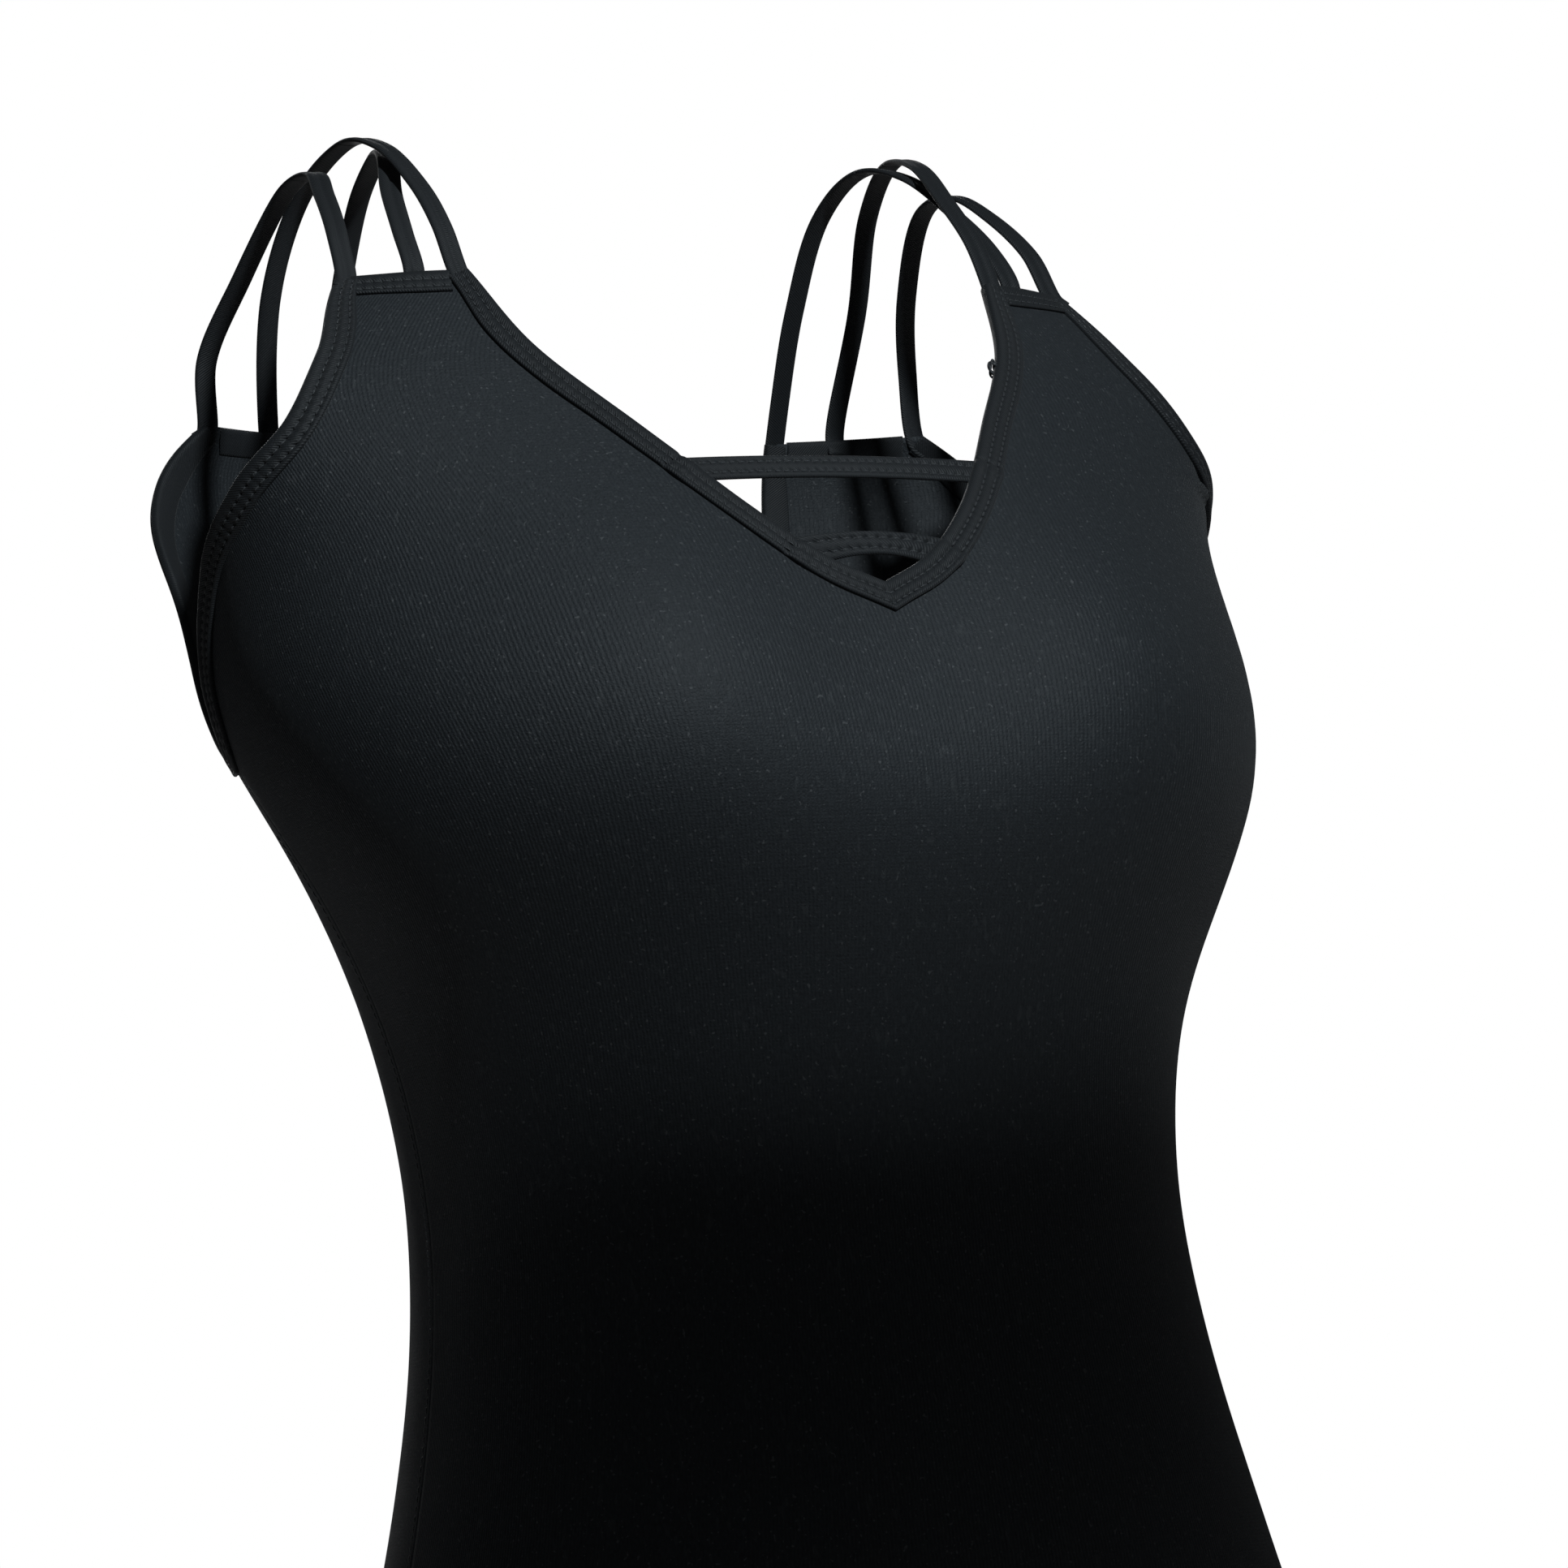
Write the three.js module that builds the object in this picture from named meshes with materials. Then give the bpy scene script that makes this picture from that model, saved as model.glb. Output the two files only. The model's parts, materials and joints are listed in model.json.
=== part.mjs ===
// A strappy gymnastics leotard, held open in the shape it takes on a torso.
// Millimetres, +Z up, the front faces -Y and the wearer's left is +X. The origin is on the
// torso's centre line at the waist. Each cloth piece is a thin closed shell between two
// offsets of one smooth body form, so layers that lie on each other keep an even gap.
import * as THREE from "three";
import { mergeVertices } from "three/addons/utils/BufferGeometryUtils.js";

// ---- Grading: how much wider, deeper and taller than the base size -------------------------
const grade = { wide: 1, deep: 1, tall: 1 };
const graded = (x, y, z) => new THREE.Vector3(x * grade.wide, y * grade.deep, z * grade.tall);

// ---- Body form: rings at given heights, lofted -------------------------------------------
const hipHeight = -170; // below it the form rounds under to the crotch
const crotchDrop = 95; // from the hip ring down to the lowest point between the legs
const ringPower = 2.35; // 2 is an ellipse, more is squarer
const rings = [
  // height, half width, depth to the front, depth to the back, centre's shift to the back
  [hipHeight, 158, 103, 117, -2],
  [-100, 138, 97, 96, -3],
  [0, 122, 86, 81, -4],
  [60, 131, 90, 83, -8],
  [115, 155, 99, 86, -13],
  [165, 170, 101, 91, 5],
  [210, 175, 90, 95, 18],
  [255, 183, 71, 91, 26],
  [300, 132, 52, 75, 31],
  [345, 125, 30, 46, 36],
];
const bust = { apart: 82, height: 165, depth: 17, wide: 51, tall: 53 };

// ---- Layers, measured outwards from the body form, which is the cloth's outer face ---------
const clothThickness = 0.8;
const liningThickness = 0.6;
const tapeThickness = 1.1;
const layerGap = 0.6; // between cloths that lie on each other
const panel = [-clothThickness, 0];
const tape = [layerGap, layerGap + tapeThickness];
const insideBy = (outer, thickness) => [outer[0] - layerGap - thickness, outer[0] - layerGap];
const lining = insideBy(panel, liningThickness);
const secondLining = insideBy(lining, liningThickness);

// ---- Tapes, hems and gaps -------------------------------------------------------------------
const bindingWidth = 9;
const tabBindingWidth = 9;
const strapWidth = 7;
const strapThickness = 1.6;
const chestStrapWidth = 8;
const seamAllowance = 6;
const chestStrapThickness = 1.4;
const gap = 0.4; // between pieces that are sewn edge to edge
const strapGap = 0.9; // between a strap's rounded end and the tab it is sewn to
const mitreStretch = 1.12; // along the mitre at the V, over the binding's width
const gussetFront = -246; // run of the gusset lining's front edge
const gussetBack = -258;
const labelSize = { width: 30, length: 38, thickness: 0.5, drop: 11 };
const labelGap = 0.6;

// ---- Edges of the pattern -------------------------------------------------------------------
const vPointHeight = 178;
const backScoopHeight = 120;
const frontTabHeight = 288;
const backTabHeight = 264;
const legSideHeight = -150;
const underarmHeight = 150;
const gussetHalfWidth = 38;
const frontNeckline = [
  // distance from the centre, height
  [0, vPointHeight],
  [18, vPointHeight + 9],
  [37, 204],
  [62, 235],
  [82, 262],
  [91, frontTabHeight],
];
const backNeckline = [
  [0, backScoopHeight],
  [34, backScoopHeight + 8],
  [60, 160],
  [74, 212],
  [80, backTabHeight],
];
const frontArmhole = [
  // angle round the form from the front, height; from the underarm up to the tab
  [107, underarmHeight],
  [104, 157],
  [99.5, 172],
  [93.5, 188],
  [84, 205],
  [67.5, 222.5],
  [54, 240],
  [50, 262],
  [57, frontTabHeight],
];
const backArmhole = [
  [107, underarmHeight],
  [112.5, 159],
  [116, 178],
  [120, 212],
  [129, 242],
  [135, backTabHeight],
];
const sideSeam = [
  [92, legSideHeight],
  [93, 0],
  [97, 80],
  [107, underarmHeight],
];
const frontLegEdge = [
  // distance from the centre, run along the form: below the hip ring it bends under
  [gussetHalfWidth, -318],
  [44, -282],
  [66, -235],
  [104, -192],
  [140, -163],
];
const backLegEdge = [
  [gussetHalfWidth, -318],
  [58, -286],
  [94, -248],
  [130, -206],
  [152, -170],
];

// ---- Straps: x, y, z along the middle of each left-hand strap, between its two sewn ends -----
const outerStrapRoute = [
  [123, 3, 304],
  [119, 18, 320],
  [115, 32, 330],
  [115, 52, 330],
  [121, 78, 308],
  [128, 94, 285],
];
const middleStrapRoute = [
  [104, -3, 304],
  [100, 10, 319],
  [93, 25, 334],
  [87, 42, 340],
  [84, 66, 331],
  [83, 88, 304],
];
const innerStrapRoute = [
  [94, -10, 304], // from here over the crest it lies on top of the middle strap
  [94, 4, 321],
  [96, 22, 337],
  [98, 42, 343],
  [103, 68, 332],
  [107, 88, 304],
];
const middleRootShare = 0.4; // along the front tab, from the neckline
const innerRootShare = 0.52; // along the back tab, from the neckline
const shoulderAxis = graded(0, 45, 262); // the straps' flat sides face away from it

// ---- Straps across the neckline: height of the lower edge at its ends, and rise in the middle ---
const chestStraps = {
  chest_strap_upper: { height: 213, arch: 1 },
  chest_strap_lower: { height: 185.5, arch: 2 },
};

const columns = 9; // across each half panel, with one more narrow column at both edges
const legRows = 13;
const sideRows = 11;
const underarmRows = 4;
const neckRows = 9;

const cloth = (color, roughness) => new THREE.MeshStandardMaterial({ color, roughness, metalness: 0 });
const jersey = cloth(0x16191c, 0.78);
const tapeCloth = cloth(0x121417, 0.7);
const liningCloth = cloth(0x1c1d20, 0.85);
const elastic = cloth(0x222325, 0.8);
const labelCloth = cloth(0xd8d8d4, 0.6);

const rad = THREE.MathUtils.degToRad;
const lerp = THREE.MathUtils.lerp;

// A natural cubic spline through (xs, ys).
function cubicThrough(xs, ys) {
  const n = xs.length;
  const bend = new Array(n).fill(0);
  const work = new Array(n).fill(0);
  for (let i = 1; i < n - 1; i++) {
    const share = (xs[i] - xs[i - 1]) / (xs[i + 1] - xs[i - 1]);
    const pivot = share * bend[i - 1] + 2;
    bend[i] = (share - 1) / pivot;
    const after = (ys[i + 1] - ys[i]) / (xs[i + 1] - xs[i]);
    const before = (ys[i] - ys[i - 1]) / (xs[i] - xs[i - 1]);
    work[i] = ((6 * (after - before)) / (xs[i + 1] - xs[i - 1]) - share * work[i - 1]) / pivot;
  }
  for (let i = n - 2; i >= 0; i--) bend[i] = bend[i] * bend[i + 1] + work[i];
  return (x) => {
    let i = 1;
    while (i < n - 1 && x > xs[i]) i++;
    const step = xs[i] - xs[i - 1];
    const a = (xs[i] - x) / step;
    const b = 1 - a;
    const curve = ((a ** 3 - a) * bend[i - 1] + (b ** 3 - b) * bend[i]) * (step * step) / 6;
    return a * ys[i - 1] + b * ys[i] + curve;
  };
}
const ringHeights = rings.map((r) => r[0]);
const [halfWidth, frontDepth, backDepth, shift] = [1, 2, 3, 4].map((k) =>
  cubicThrough(ringHeights, rings.map((r) => r[k])),
);

// ---- The body form ------------------------------------------------------------------------
// A place on it is [turn, run]: turn in radians from the front centre towards the left side,
// 180 degrees at the back centre, and run, the height, which below the hip ring follows the
// form round under the crotch.
const lowestRun = hipHeight - (crotchDrop * Math.PI) / 2;

function formPoint(turn, run) {
  const under = Math.max(0, (hipHeight - run) / crotchDrop);
  const level = Math.max(run, hipHeight);
  const z = run < hipHeight ? hipHeight - crotchDrop * Math.sin(under) : run;
  const s = Math.sin(turn);
  const c = Math.cos(turn);
  const reach = (Math.abs(s) ** ringPower + Math.abs(c) ** ringPower) ** (-1 / ringPower);
  const x = halfWidth(level) * reach * s;
  const depth = (c > 0 ? frontDepth(level) : backDepth(level)) * Math.cos(under);
  let y = shift(level) - depth * reach * c;
  if (c > 0) {
    const rise = ((z - bust.height) / bust.tall) ** 2;
    for (const side of [-1, 1]) {
      y -= bust.depth * c * Math.exp(-(((x - side * bust.apart) / bust.wide) ** 2) - rise);
    }
  }
  return graded(x, y, z);
}

function formSlopes(turn, run) {
  const dTurn = 0.004;
  const dRun = 0.5;
  const across = formPoint(turn + dTurn, run).sub(formPoint(turn - dTurn, run));
  const up = formPoint(turn, run + dRun).sub(formPoint(turn, run - dRun));
  return { across: across.divideScalar(2 * dTurn), up: up.divideScalar(2 * dRun) };
}

function formNormal(turn, run) {
  const { across, up } = formSlopes(turn, run);
  const normal = across.cross(up).normalize();
  if (Math.abs(Math.sin(turn)) < 1e-9) normal.x = 0;
  return normal;
}

function offsetPoint([turn, run], offset) {
  const point = formPoint(turn, run).addScaledVector(formNormal(turn, run), offset);
  if (Math.abs(Math.sin(turn)) < 1e-9) point.x = 0;
  return point;
}

// The turn at which the form is a given distance from the centre, at the front or the back.
function turnAt(distance, run, atBack = false) {
  const wide = Math.min(1, distance / halfWidth(Math.max(run, hipHeight)));
  const turn = Math.atan2(wide, (1 - wide ** ringPower) ** (1 / ringPower));
  return atBack ? Math.PI - turn : turn;
}

// A smooth curve through points; share 0 to 1 is measured along its length.
function smoothEdge(points) {
  const curve = new THREE.CatmullRomCurve3(points.map(([a, b]) => new THREE.Vector3(a, b, 0)));
  curve.arcLengthDivisions = 400;
  return (share) => {
    const p = curve.getPointAt(share);
    return [p.x, p.y];
  };
}
const distanceEdge = (points, atBack) => {
  const edge = smoothEdge(points);
  return (share) => {
    const [distance, run] = edge(share);
    return [turnAt(Math.max(0, distance), run, atBack), run];
  };
};
const turnEdge = (points) => {
  const edge = smoothEdge(points);
  return (share) => {
    const [degrees, run] = edge(share);
    return [rad(degrees), run];
  };
};

const legCorner = ([x, run]) => [(turnAt(x, run) * 180) / Math.PI, run];
const edges = {
  frontNeck: distanceEdge(frontNeckline, false),
  backNeck: distanceEdge(backNeckline, true),
  frontArm: turnEdge(frontArmhole),
  backArm: turnEdge(backArmhole),
  side: turnEdge(sideSeam),
  frontLeg: turnEdge([...frontLegEdge.map(legCorner), sideSeam[0]]),
  backLeg: turnEdge([
    ...backLegEdge.map(legCorner).map(([degrees, run]) => [180 - degrees, run]),
    sideSeam[0],
  ]),
};

// ---- Solids ---------------------------------------------------------------------------------
class Skin {
  constructor() {
    this.corners = [];
  }
  // Two triangles, split along a-c, or along b-d where the quad is crossed.
  quad(a, b, c, d, crossed = false) {
    if (crossed) this.corners.push(b, c, d, b, d, a);
    else this.corners.push(a, b, c, a, c, d);
  }
  geometry() {
    let volume = 0;
    for (let i = 0; i < this.corners.length; i += 3) {
      const [a, b, c] = this.corners.slice(i, i + 3);
      volume += a.dot(b.clone().cross(c));
    }
    if (volume < 0) this.corners.reverse();
    const raw = new THREE.BufferGeometry().setFromPoints(this.corners);
    const welded = mergeVertices(raw, 1e-3);
    welded.computeVertexNormals();
    return welded;
  }
}

// Closes the space between two equal grids of points, the outer one and the inner one. Faces of
// the left side are crossed, and those of the mirrored right side aren't, so both sides match.
const always = () => true;
function thicken(skin, outer, inner, { crossed = false, openLeft = always, openRight = always } = {}) {
  const last = outer.length - 1;
  const edge = outer[0].length - 1;
  for (let i = 0; i < last; i++) {
    for (let j = 0; j < edge; j++) {
      const [a, b, c, d] = [outer[i][j], outer[i][j + 1], outer[i + 1][j + 1], outer[i + 1][j]];
      skin.quad(a, b, c, d, crossed);
      const [e, f, g, h] = [inner[i][j], inner[i + 1][j], inner[i + 1][j + 1], inner[i][j + 1]];
      skin.quad(e, f, g, h, crossed);
    }
    if (openLeft(i)) skin.quad(outer[i][0], outer[i + 1][0], inner[i + 1][0], inner[i][0]);
    if (openRight(i)) {
      skin.quad(inner[i][edge], inner[i + 1][edge], outer[i + 1][edge], outer[i][edge]);
    }
  }
}
function closeEnds(skin, outer, inner) {
  const last = outer.length - 1;
  for (let j = 0; j < outer[0].length - 1; j++) {
    skin.quad(inner[0][j], inner[0][j + 1], outer[0][j + 1], outer[0][j]);
    skin.quad(outer[last][j], outer[last][j + 1], inner[last][j + 1], inner[last][j]);
  }
}

const mirrored = (points) =>
  points.map((row) => row.map((p) => new THREE.Vector3(-p.x, p.y, p.z)).reverse());
const lift = (places, offset) => places.map((row) => row.map((place) => offsetPoint(place, offset)));

// A shell over a grid of places, on one side of the body or on both, sewn at the centre line.
function shell(places, [low, high], { bothSides = false, centreRows = 0, side = 1 } = {}) {
  const skin = new Skin();
  const outer = lift(places, high);
  const inner = lift(places, low);
  if (bothSides) {
    thicken(skin, outer, inner, { crossed: true, openLeft: (i) => i >= centreRows });
    closeEnds(skin, outer, inner);
    thicken(skin, mirrored(outer), mirrored(inner), { openRight: (i) => i >= centreRows });
    closeEnds(skin, mirrored(outer), mirrored(inner));
  } else {
    const [top, under] = side > 0 ? [outer, inner] : [mirrored(outer), mirrored(inner)];
    thicken(skin, top, under, { crossed: side > 0 });
    closeEnds(skin, top, under);
  }
  return skin.geometry();
}

// The place a given distance in from a point of an edge, square to the edge on the form.
function inset(path, i, width, closed) {
  const n = path.length;
  const before = path[closed ? (i - 1 + n) % n : Math.max(0, i - 1)];
  const after = path[closed ? (i + 1) % n : Math.min(n - 1, i + 1)];
  const along = offsetPoint(after, 0).sub(offsetPoint(before, 0)).normalize();
  const [turn, run] = path[i];
  const { across, up } = formSlopes(turn, run);
  const inwards = formNormal(turn, run).cross(along).multiplyScalar(width);
  const [aa, au, uu] = [across.dot(across), across.dot(up), up.dot(up)];
  const [ia, iu] = [inwards.dot(across), inwards.dot(up)];
  const det = aa * uu - au * au;
  return [turn + (ia * uu - iu * au) / det, run + (iu * aa - ia * au) / det];
}

const mix = (a, b, t) => [lerp(a[0], b[0], t), lerp(a[1], b[1], t)];
const distance = (a, b) => formPoint(...a).distanceTo(formPoint(...b));

// All the inset places of an open edge. The first and the last are level with the edge's ends.
function insetPath(path, width) {
  const places = path.map((_, i) => inset(path, i, width, false));
  const level = (at, next) => {
    const [a, b] = [places[at], places[next]];
    return mix(a, b, (path[at][1] - a[1]) / (b[1] - a[1]));
  };
  const last = path.length - 1;
  const ends = [level(0, 1), level(last, last - 1)];
  return [ends[0], ...places.slice(1, -1), ends[1]];
}

// A tape laid along an edge. A negative width lays it on the other side of the path.
function tapeAlong(path, width, layer, { side = 1, mitre = null, start = 0 } = {}) {
  const far = insetPath(path, width);
  if (mitre) far[0] = mitre;
  const near = start ? insetPath(path, start) : path;
  return strip(path.map((_, i) => [near[i], far[i]]), layer, { side });
}

// A shell on rows of places, closed into a ring if asked.
function strip(rows, layer, { closed = false, side = 1 } = {}) {
  const ring = closed ? [...rows, rows[0]] : rows;
  const outer = lift(ring, layer[1]);
  const inner = lift(ring, layer[0]);
  const [top, under] = side > 0 ? [outer, inner] : [mirrored(outer), mirrored(inner)];
  const skin = new Skin();
  thicken(skin, top, under, { crossed: side > 0 });
  if (!closed) closeEnds(skin, top, under);
  return skin.geometry();
}

const spread = (count, from = 0, to = 1) =>
  Array.from({ length: count + 1 }, (_, i) => lerp(from, to, i / count));

// ---- Panels -----------------------------------------------------------------------------------
const seamTurn = 0.0015; // half the gap between two panels that meet at a seam, in radians
const crotchRun = lowestRun + gap / 2;

// Rows of places from the centre line out to the edge of one half panel. The last two places
// of each row are a binding's width apart, square to the edge, so that a tape or an elastic
// laid along the edge can follow the panel's own facets.
function halfPanel({ atBack, neck, arm, leg, armShare, neckBase, chestLevel }) {
  const centre = atBack ? Math.PI : 0;
  const seamShift = atBack ? seamTurn : -seamTurn;
  const hipLevel = -120;
  const ends = [];
  spread(legRows).forEach((t) => {
    const [turn, run] = leg(t);
    const middle = [centre, lerp(crotchRun, hipLevel, t)];
    ends.push([middle, [turn + seamShift * t, Math.max(run, crotchRun)]]);
  });
  spread(sideRows).slice(1).forEach((t) => {
    const [turn, run] = edges.side(t);
    ends.push([[centre, lerp(hipLevel, chestLevel, t)], [turn + seamShift, run]]);
  });
  spread(underarmRows).slice(1).forEach((t) => {
    ends.push([[centre, lerp(chestLevel, neckBase, t)], arm(t * armShare)]);
  });
  spread(neckRows).slice(1).forEach((t) => {
    ends.push([neck(t), arm(lerp(armShare, 1, t))]);
  });
  const edge = ends.map(([, outer]) => outer);
  const within = insetPath(edge, atBack ? -bindingWidth : bindingWidth);
  return ends.map(([inner, outer], i) => {
    const width = formPoint(...outer).distanceTo(formPoint(...inner));
    const band = Math.min(0.2, bindingWidth / width);
    const shares = [0, ...spread(columns - 2, band, 1)];
    return [...shares.map((t) => mix(inner, within[i], t)), outer];
  });
}
const seamRows = legRows + sideRows + underarmRows; // rows joined at the centre line

const frontRows = halfPanel({
  atBack: false,
  neck: edges.frontNeck,
  arm: edges.frontArm,
  leg: edges.frontLeg,
  armShare: 0.36,
  neckBase: vPointHeight,
  chestLevel: 130,
});
const backRows = halfPanel({
  atBack: true,
  neck: edges.backNeck,
  arm: edges.backArm,
  leg: edges.backLeg,
  armShare: 0.3,
  neckBase: backScoopHeight,
  chestLevel: 70,
});

const part = new THREE.Group();
function add(name, geometry, material) {
  const mesh = new THREE.Mesh(geometry, material);
  mesh.name = name;
  part.add(mesh);
}

add("front_panel", shell(frontRows, panel, { bothSides: true, centreRows: seamRows }), jersey);
add("back_panel", shell(backRows, panel, { bothSides: true, centreRows: seamRows }), jersey);

// ---- Linings ------------------------------------------------------------------------------------
const liningFrom = legRows + sideRows - 2;
const liningTo = seamRows + neckRows - 1;
const liningRows = frontRows.slice(liningFrom, liningTo).map((row) => row.slice(0, -1));
const liningSeamRows = seamRows - liningFrom;
add(
  "bust_lining",
  shell(liningRows, lining, { bothSides: true, centreRows: liningSeamRows }),
  liningCloth,
);
const bandRows = liningRows.slice(0, 2);
add(
  "underbust_elastic",
  shell(bandRows, secondLining, { bothSides: true, centreRows: bandRows.length }),
  elastic,
);

const liningHalfWidth = gussetHalfWidth - bindingWidth - 1;
const signedTurn = (x, run) => Math.sign(x) * turnAt(Math.abs(x), run);
function gussetLining() {
  const across = spread(6, -liningHalfWidth, liningHalfWidth);
  const front = spread(6, gussetFront, lowestRun + gap).map((run) =>
    across.map((x) => [signedTurn(x, run), run]),
  );
  const back = spread(6, lowestRun + gap, gussetBack).map((run) =>
    across.map((x) => [Math.PI - signedTurn(x, run), run]),
  );
  return shell([...front, ...back].reverse(), secondLining);
}
add("gusset_lining", gussetLining(), liningCloth);

// ---- Edges, as the panels' own border places ------------------------------------------------------
const lastOf = (row) => row[row.length - 1];
const armFrom = legRows + sideRows;
const sidePath = frontRows.slice(legRows, armFrom + 1).map(lastOf);
const neckPath = frontRows.slice(seamRows).map((row) => row[0]);
const backNeckHalf = backRows.slice(seamRows).map((row) => row[0]);

// The outermost strips of the panels' grids: [edge, binding's width in] for each row.
const edgeStrip = (rows, from, to) => rows.slice(from, to).map((row) => row.slice(-2).reverse());
const armStrip = [
  ...edgeStrip(frontRows, armFrom, frontRows.length).reverse(),
  ...edgeStrip(backRows, armFrom, backRows.length),
];
const legStrip = [
  ...edgeStrip(frontRows, 0, legRows + 1).reverse(),
  ...edgeStrip(backRows, 0, legRows + 1),
];

// ---- Seams ----------------------------------------------------------------------------------------
const sides = [["left", 1], ["right", -1]];
for (const [name, side] of sides) {
  const seam = tapeAlong(sidePath.slice(1, -1), seamAllowance / 2, lining, {
    side,
    start: -seamAllowance / 2,
  });
  add(`side_seam_${name}`, seam, liningCloth);
}
function crotchSeam() {
  const across = spread(6, -liningHalfWidth, liningHalfWidth).map((x) => signedTurn(x, lowestRun));
  const run = lowestRun + seamAllowance / 2;
  return shell([across.map((turn) => [Math.PI - turn, run]), across.map((turn) => [turn, run])], lining);
}
add("crotch_seam", crotchSeam(), liningCloth);

// ---- Bindings -------------------------------------------------------------------------------------
// The inner edge of a binding near its end, given as a list of places, at a given run.
const atRun = ([end, next], run) => mix(end, next, (run - end[1]) / (next[1] - end[1]));

// A short tape across the top of a shoulder tab, between the two long bindings.
function tabBinding({ neck, arm }, width, side) {
  const top = neck.inside[0][1];
  const rows = [top - width, top].map((run) => {
    const from = atRun(neck.inside, run);
    const to = atRun(arm.inside, run);
    const margin = (2 * gap) / distance(from, to);
    return spread(4, margin, 1 - margin).map((t) => mix(from, to, t));
  });
  return shell(rows, tape, { side });
}

// The ends of the two long bindings at the top of a tab: edge places and inside places.
const endOf = (strip) => ({ edge: strip.map((p) => p[0]), inside: strip.map((p) => p[1]) });
const pathEnd = (path, width) => {
  const inside = insetPath(path, width);
  return endOf(path.map((place, i) => [place, inside[i]]).reverse());
};
const frontTab = { neck: pathEnd(neckPath, -bindingWidth), arm: endOf(armStrip) };
const backTab = { neck: pathEnd(backNeckHalf, bindingWidth), arm: endOf([...armStrip].reverse()) };

const vMitre = [seamTurn, vPointHeight - bindingWidth * mitreStretch];
const mitredNeck = [[seamTurn, vPointHeight], ...neckPath.slice(1)];
for (const [name, side] of sides) {
  const neck = tapeAlong(mitredNeck, -bindingWidth, tape, { side, mitre: vMitre });
  add(`neckline_binding_${name}`, neck, tapeCloth);
  add(`armhole_binding_${name}`, strip(armStrip, tape, { side }), tapeCloth);
  add(`front_tab_binding_${name}`, tabBinding(frontTab, tabBindingWidth, side), tapeCloth);
  add(`back_tab_binding_${name}`, tabBinding(backTab, tabBindingWidth, side), tapeCloth);
  add(`leg_binding_${name}`, strip(legStrip, tape, { closed: true, side }), tapeCloth);
  add(`leg_elastic_${name}`, strip(legStrip, lining, { closed: true, side }), elastic);
}
const backNeckPath = [
  ...backNeckHalf.slice(1).reverse(),
  ...backNeckHalf.map(([turn, run]) => [2 * Math.PI - turn, run]),
];
add("back_neckline_binding", tapeAlong(backNeckPath, -bindingWidth, tape), tapeCloth);

// ---- Shoulder straps ------------------------------------------------------------------------------
// A flat tape along a curve, its flat sides facing away from the shoulder, with half-round ends.
function flatStrap(curve, width, thickness, steps) {
  const half = width / 2;
  const outer = [];
  const inner = [];
  const addSection = (t, beyond, narrow) => {
    const along = curve.getTangentAt(t);
    const centre = curve.getPointAt(t).addScaledVector(along, beyond);
    const away = new THREE.Vector3(0, centre.y - shoulderAxis.y, centre.z - shoulderAxis.z);
    const face = away.addScaledVector(along, -away.dot(along)).normalize();
    const sideways = face.clone().cross(along).normalize();
    const corner = (across, up) =>
      centre.clone().addScaledVector(sideways, across * narrow).addScaledVector(face, up);
    outer.push([corner(half, thickness / 2), corner(-half, thickness / 2)]);
    inner.push([corner(half, -thickness / 2), corner(-half, -thickness / 2)]);
  };
  const capAngles = [80, 55, 28].map(rad);
  capAngles.forEach((a) => addSection(0, -half * Math.sin(a), Math.cos(a)));
  spread(steps).forEach((t) => addSection(t, 0, 1));
  [...capAngles].reverse().forEach((a) => addSection(1, half * Math.sin(a), Math.cos(a)));
  const skin = new Skin();
  thicken(skin, outer, inner);
  closeEnds(skin, outer, inner);
  return skin.geometry();
}

// Where a strap's rounded end sits: just above the top of a tab, in line with its tapes.
const tapeMiddle = (tape[0] + tape[1]) / 2;
function strapRoot([turn, run]) {
  const { up } = formSlopes(turn, run);
  return offsetPoint([turn, run + (strapWidth / 2 + strapGap) / up.length()], tapeMiddle);
}
const onTape = (end) => mix(end.edge[0], end.inside[0], 0.5);
const onTab = ({ neck, arm }, share) => mix(onTape(neck), onTape(arm), share);
const strapEnds = {
  outer_strap: [strapRoot(onTape(frontTab.arm)), strapRoot(onTape(backTab.arm))],
  middle_strap: [strapRoot(onTab(frontTab, middleRootShare)), strapRoot(onTape(backTab.neck))],
  inner_strap: [strapRoot(onTape(frontTab.neck)), strapRoot(onTab(backTab, innerRootShare))],
};
const strapRoutes = {
  outer_strap: outerStrapRoute,
  middle_strap: middleStrapRoute,
  inner_strap: innerStrapRoute,
};
for (const [name, side] of sides) {
  for (const [strap, route] of Object.entries(strapRoutes)) {
    const [front, back] = strapEnds[strap];
    const points = [front, ...route.map((p) => graded(...p)), back];
    const handed = points.map((p) => new THREE.Vector3(side * p.x, p.y, p.z));
    const curve = new THREE.CatmullRomCurve3(handed);
    add(`${strap}_${name}`, flatStrap(curve, strapWidth, strapThickness, 26), tapeCloth);
  }
}

// ---- Chest straps ---------------------------------------------------------------------------------
// The place on the neckline's free edge at a given height.
function neckPlaceAt(height) {
  const above = neckPath.findIndex((place) => place[1] >= height);
  const [low, high] = [neckPath[above - 1], neckPath[above]];
  return mix(low, high, (height - low[1]) / (high[1] - low[1]));
}

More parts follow.
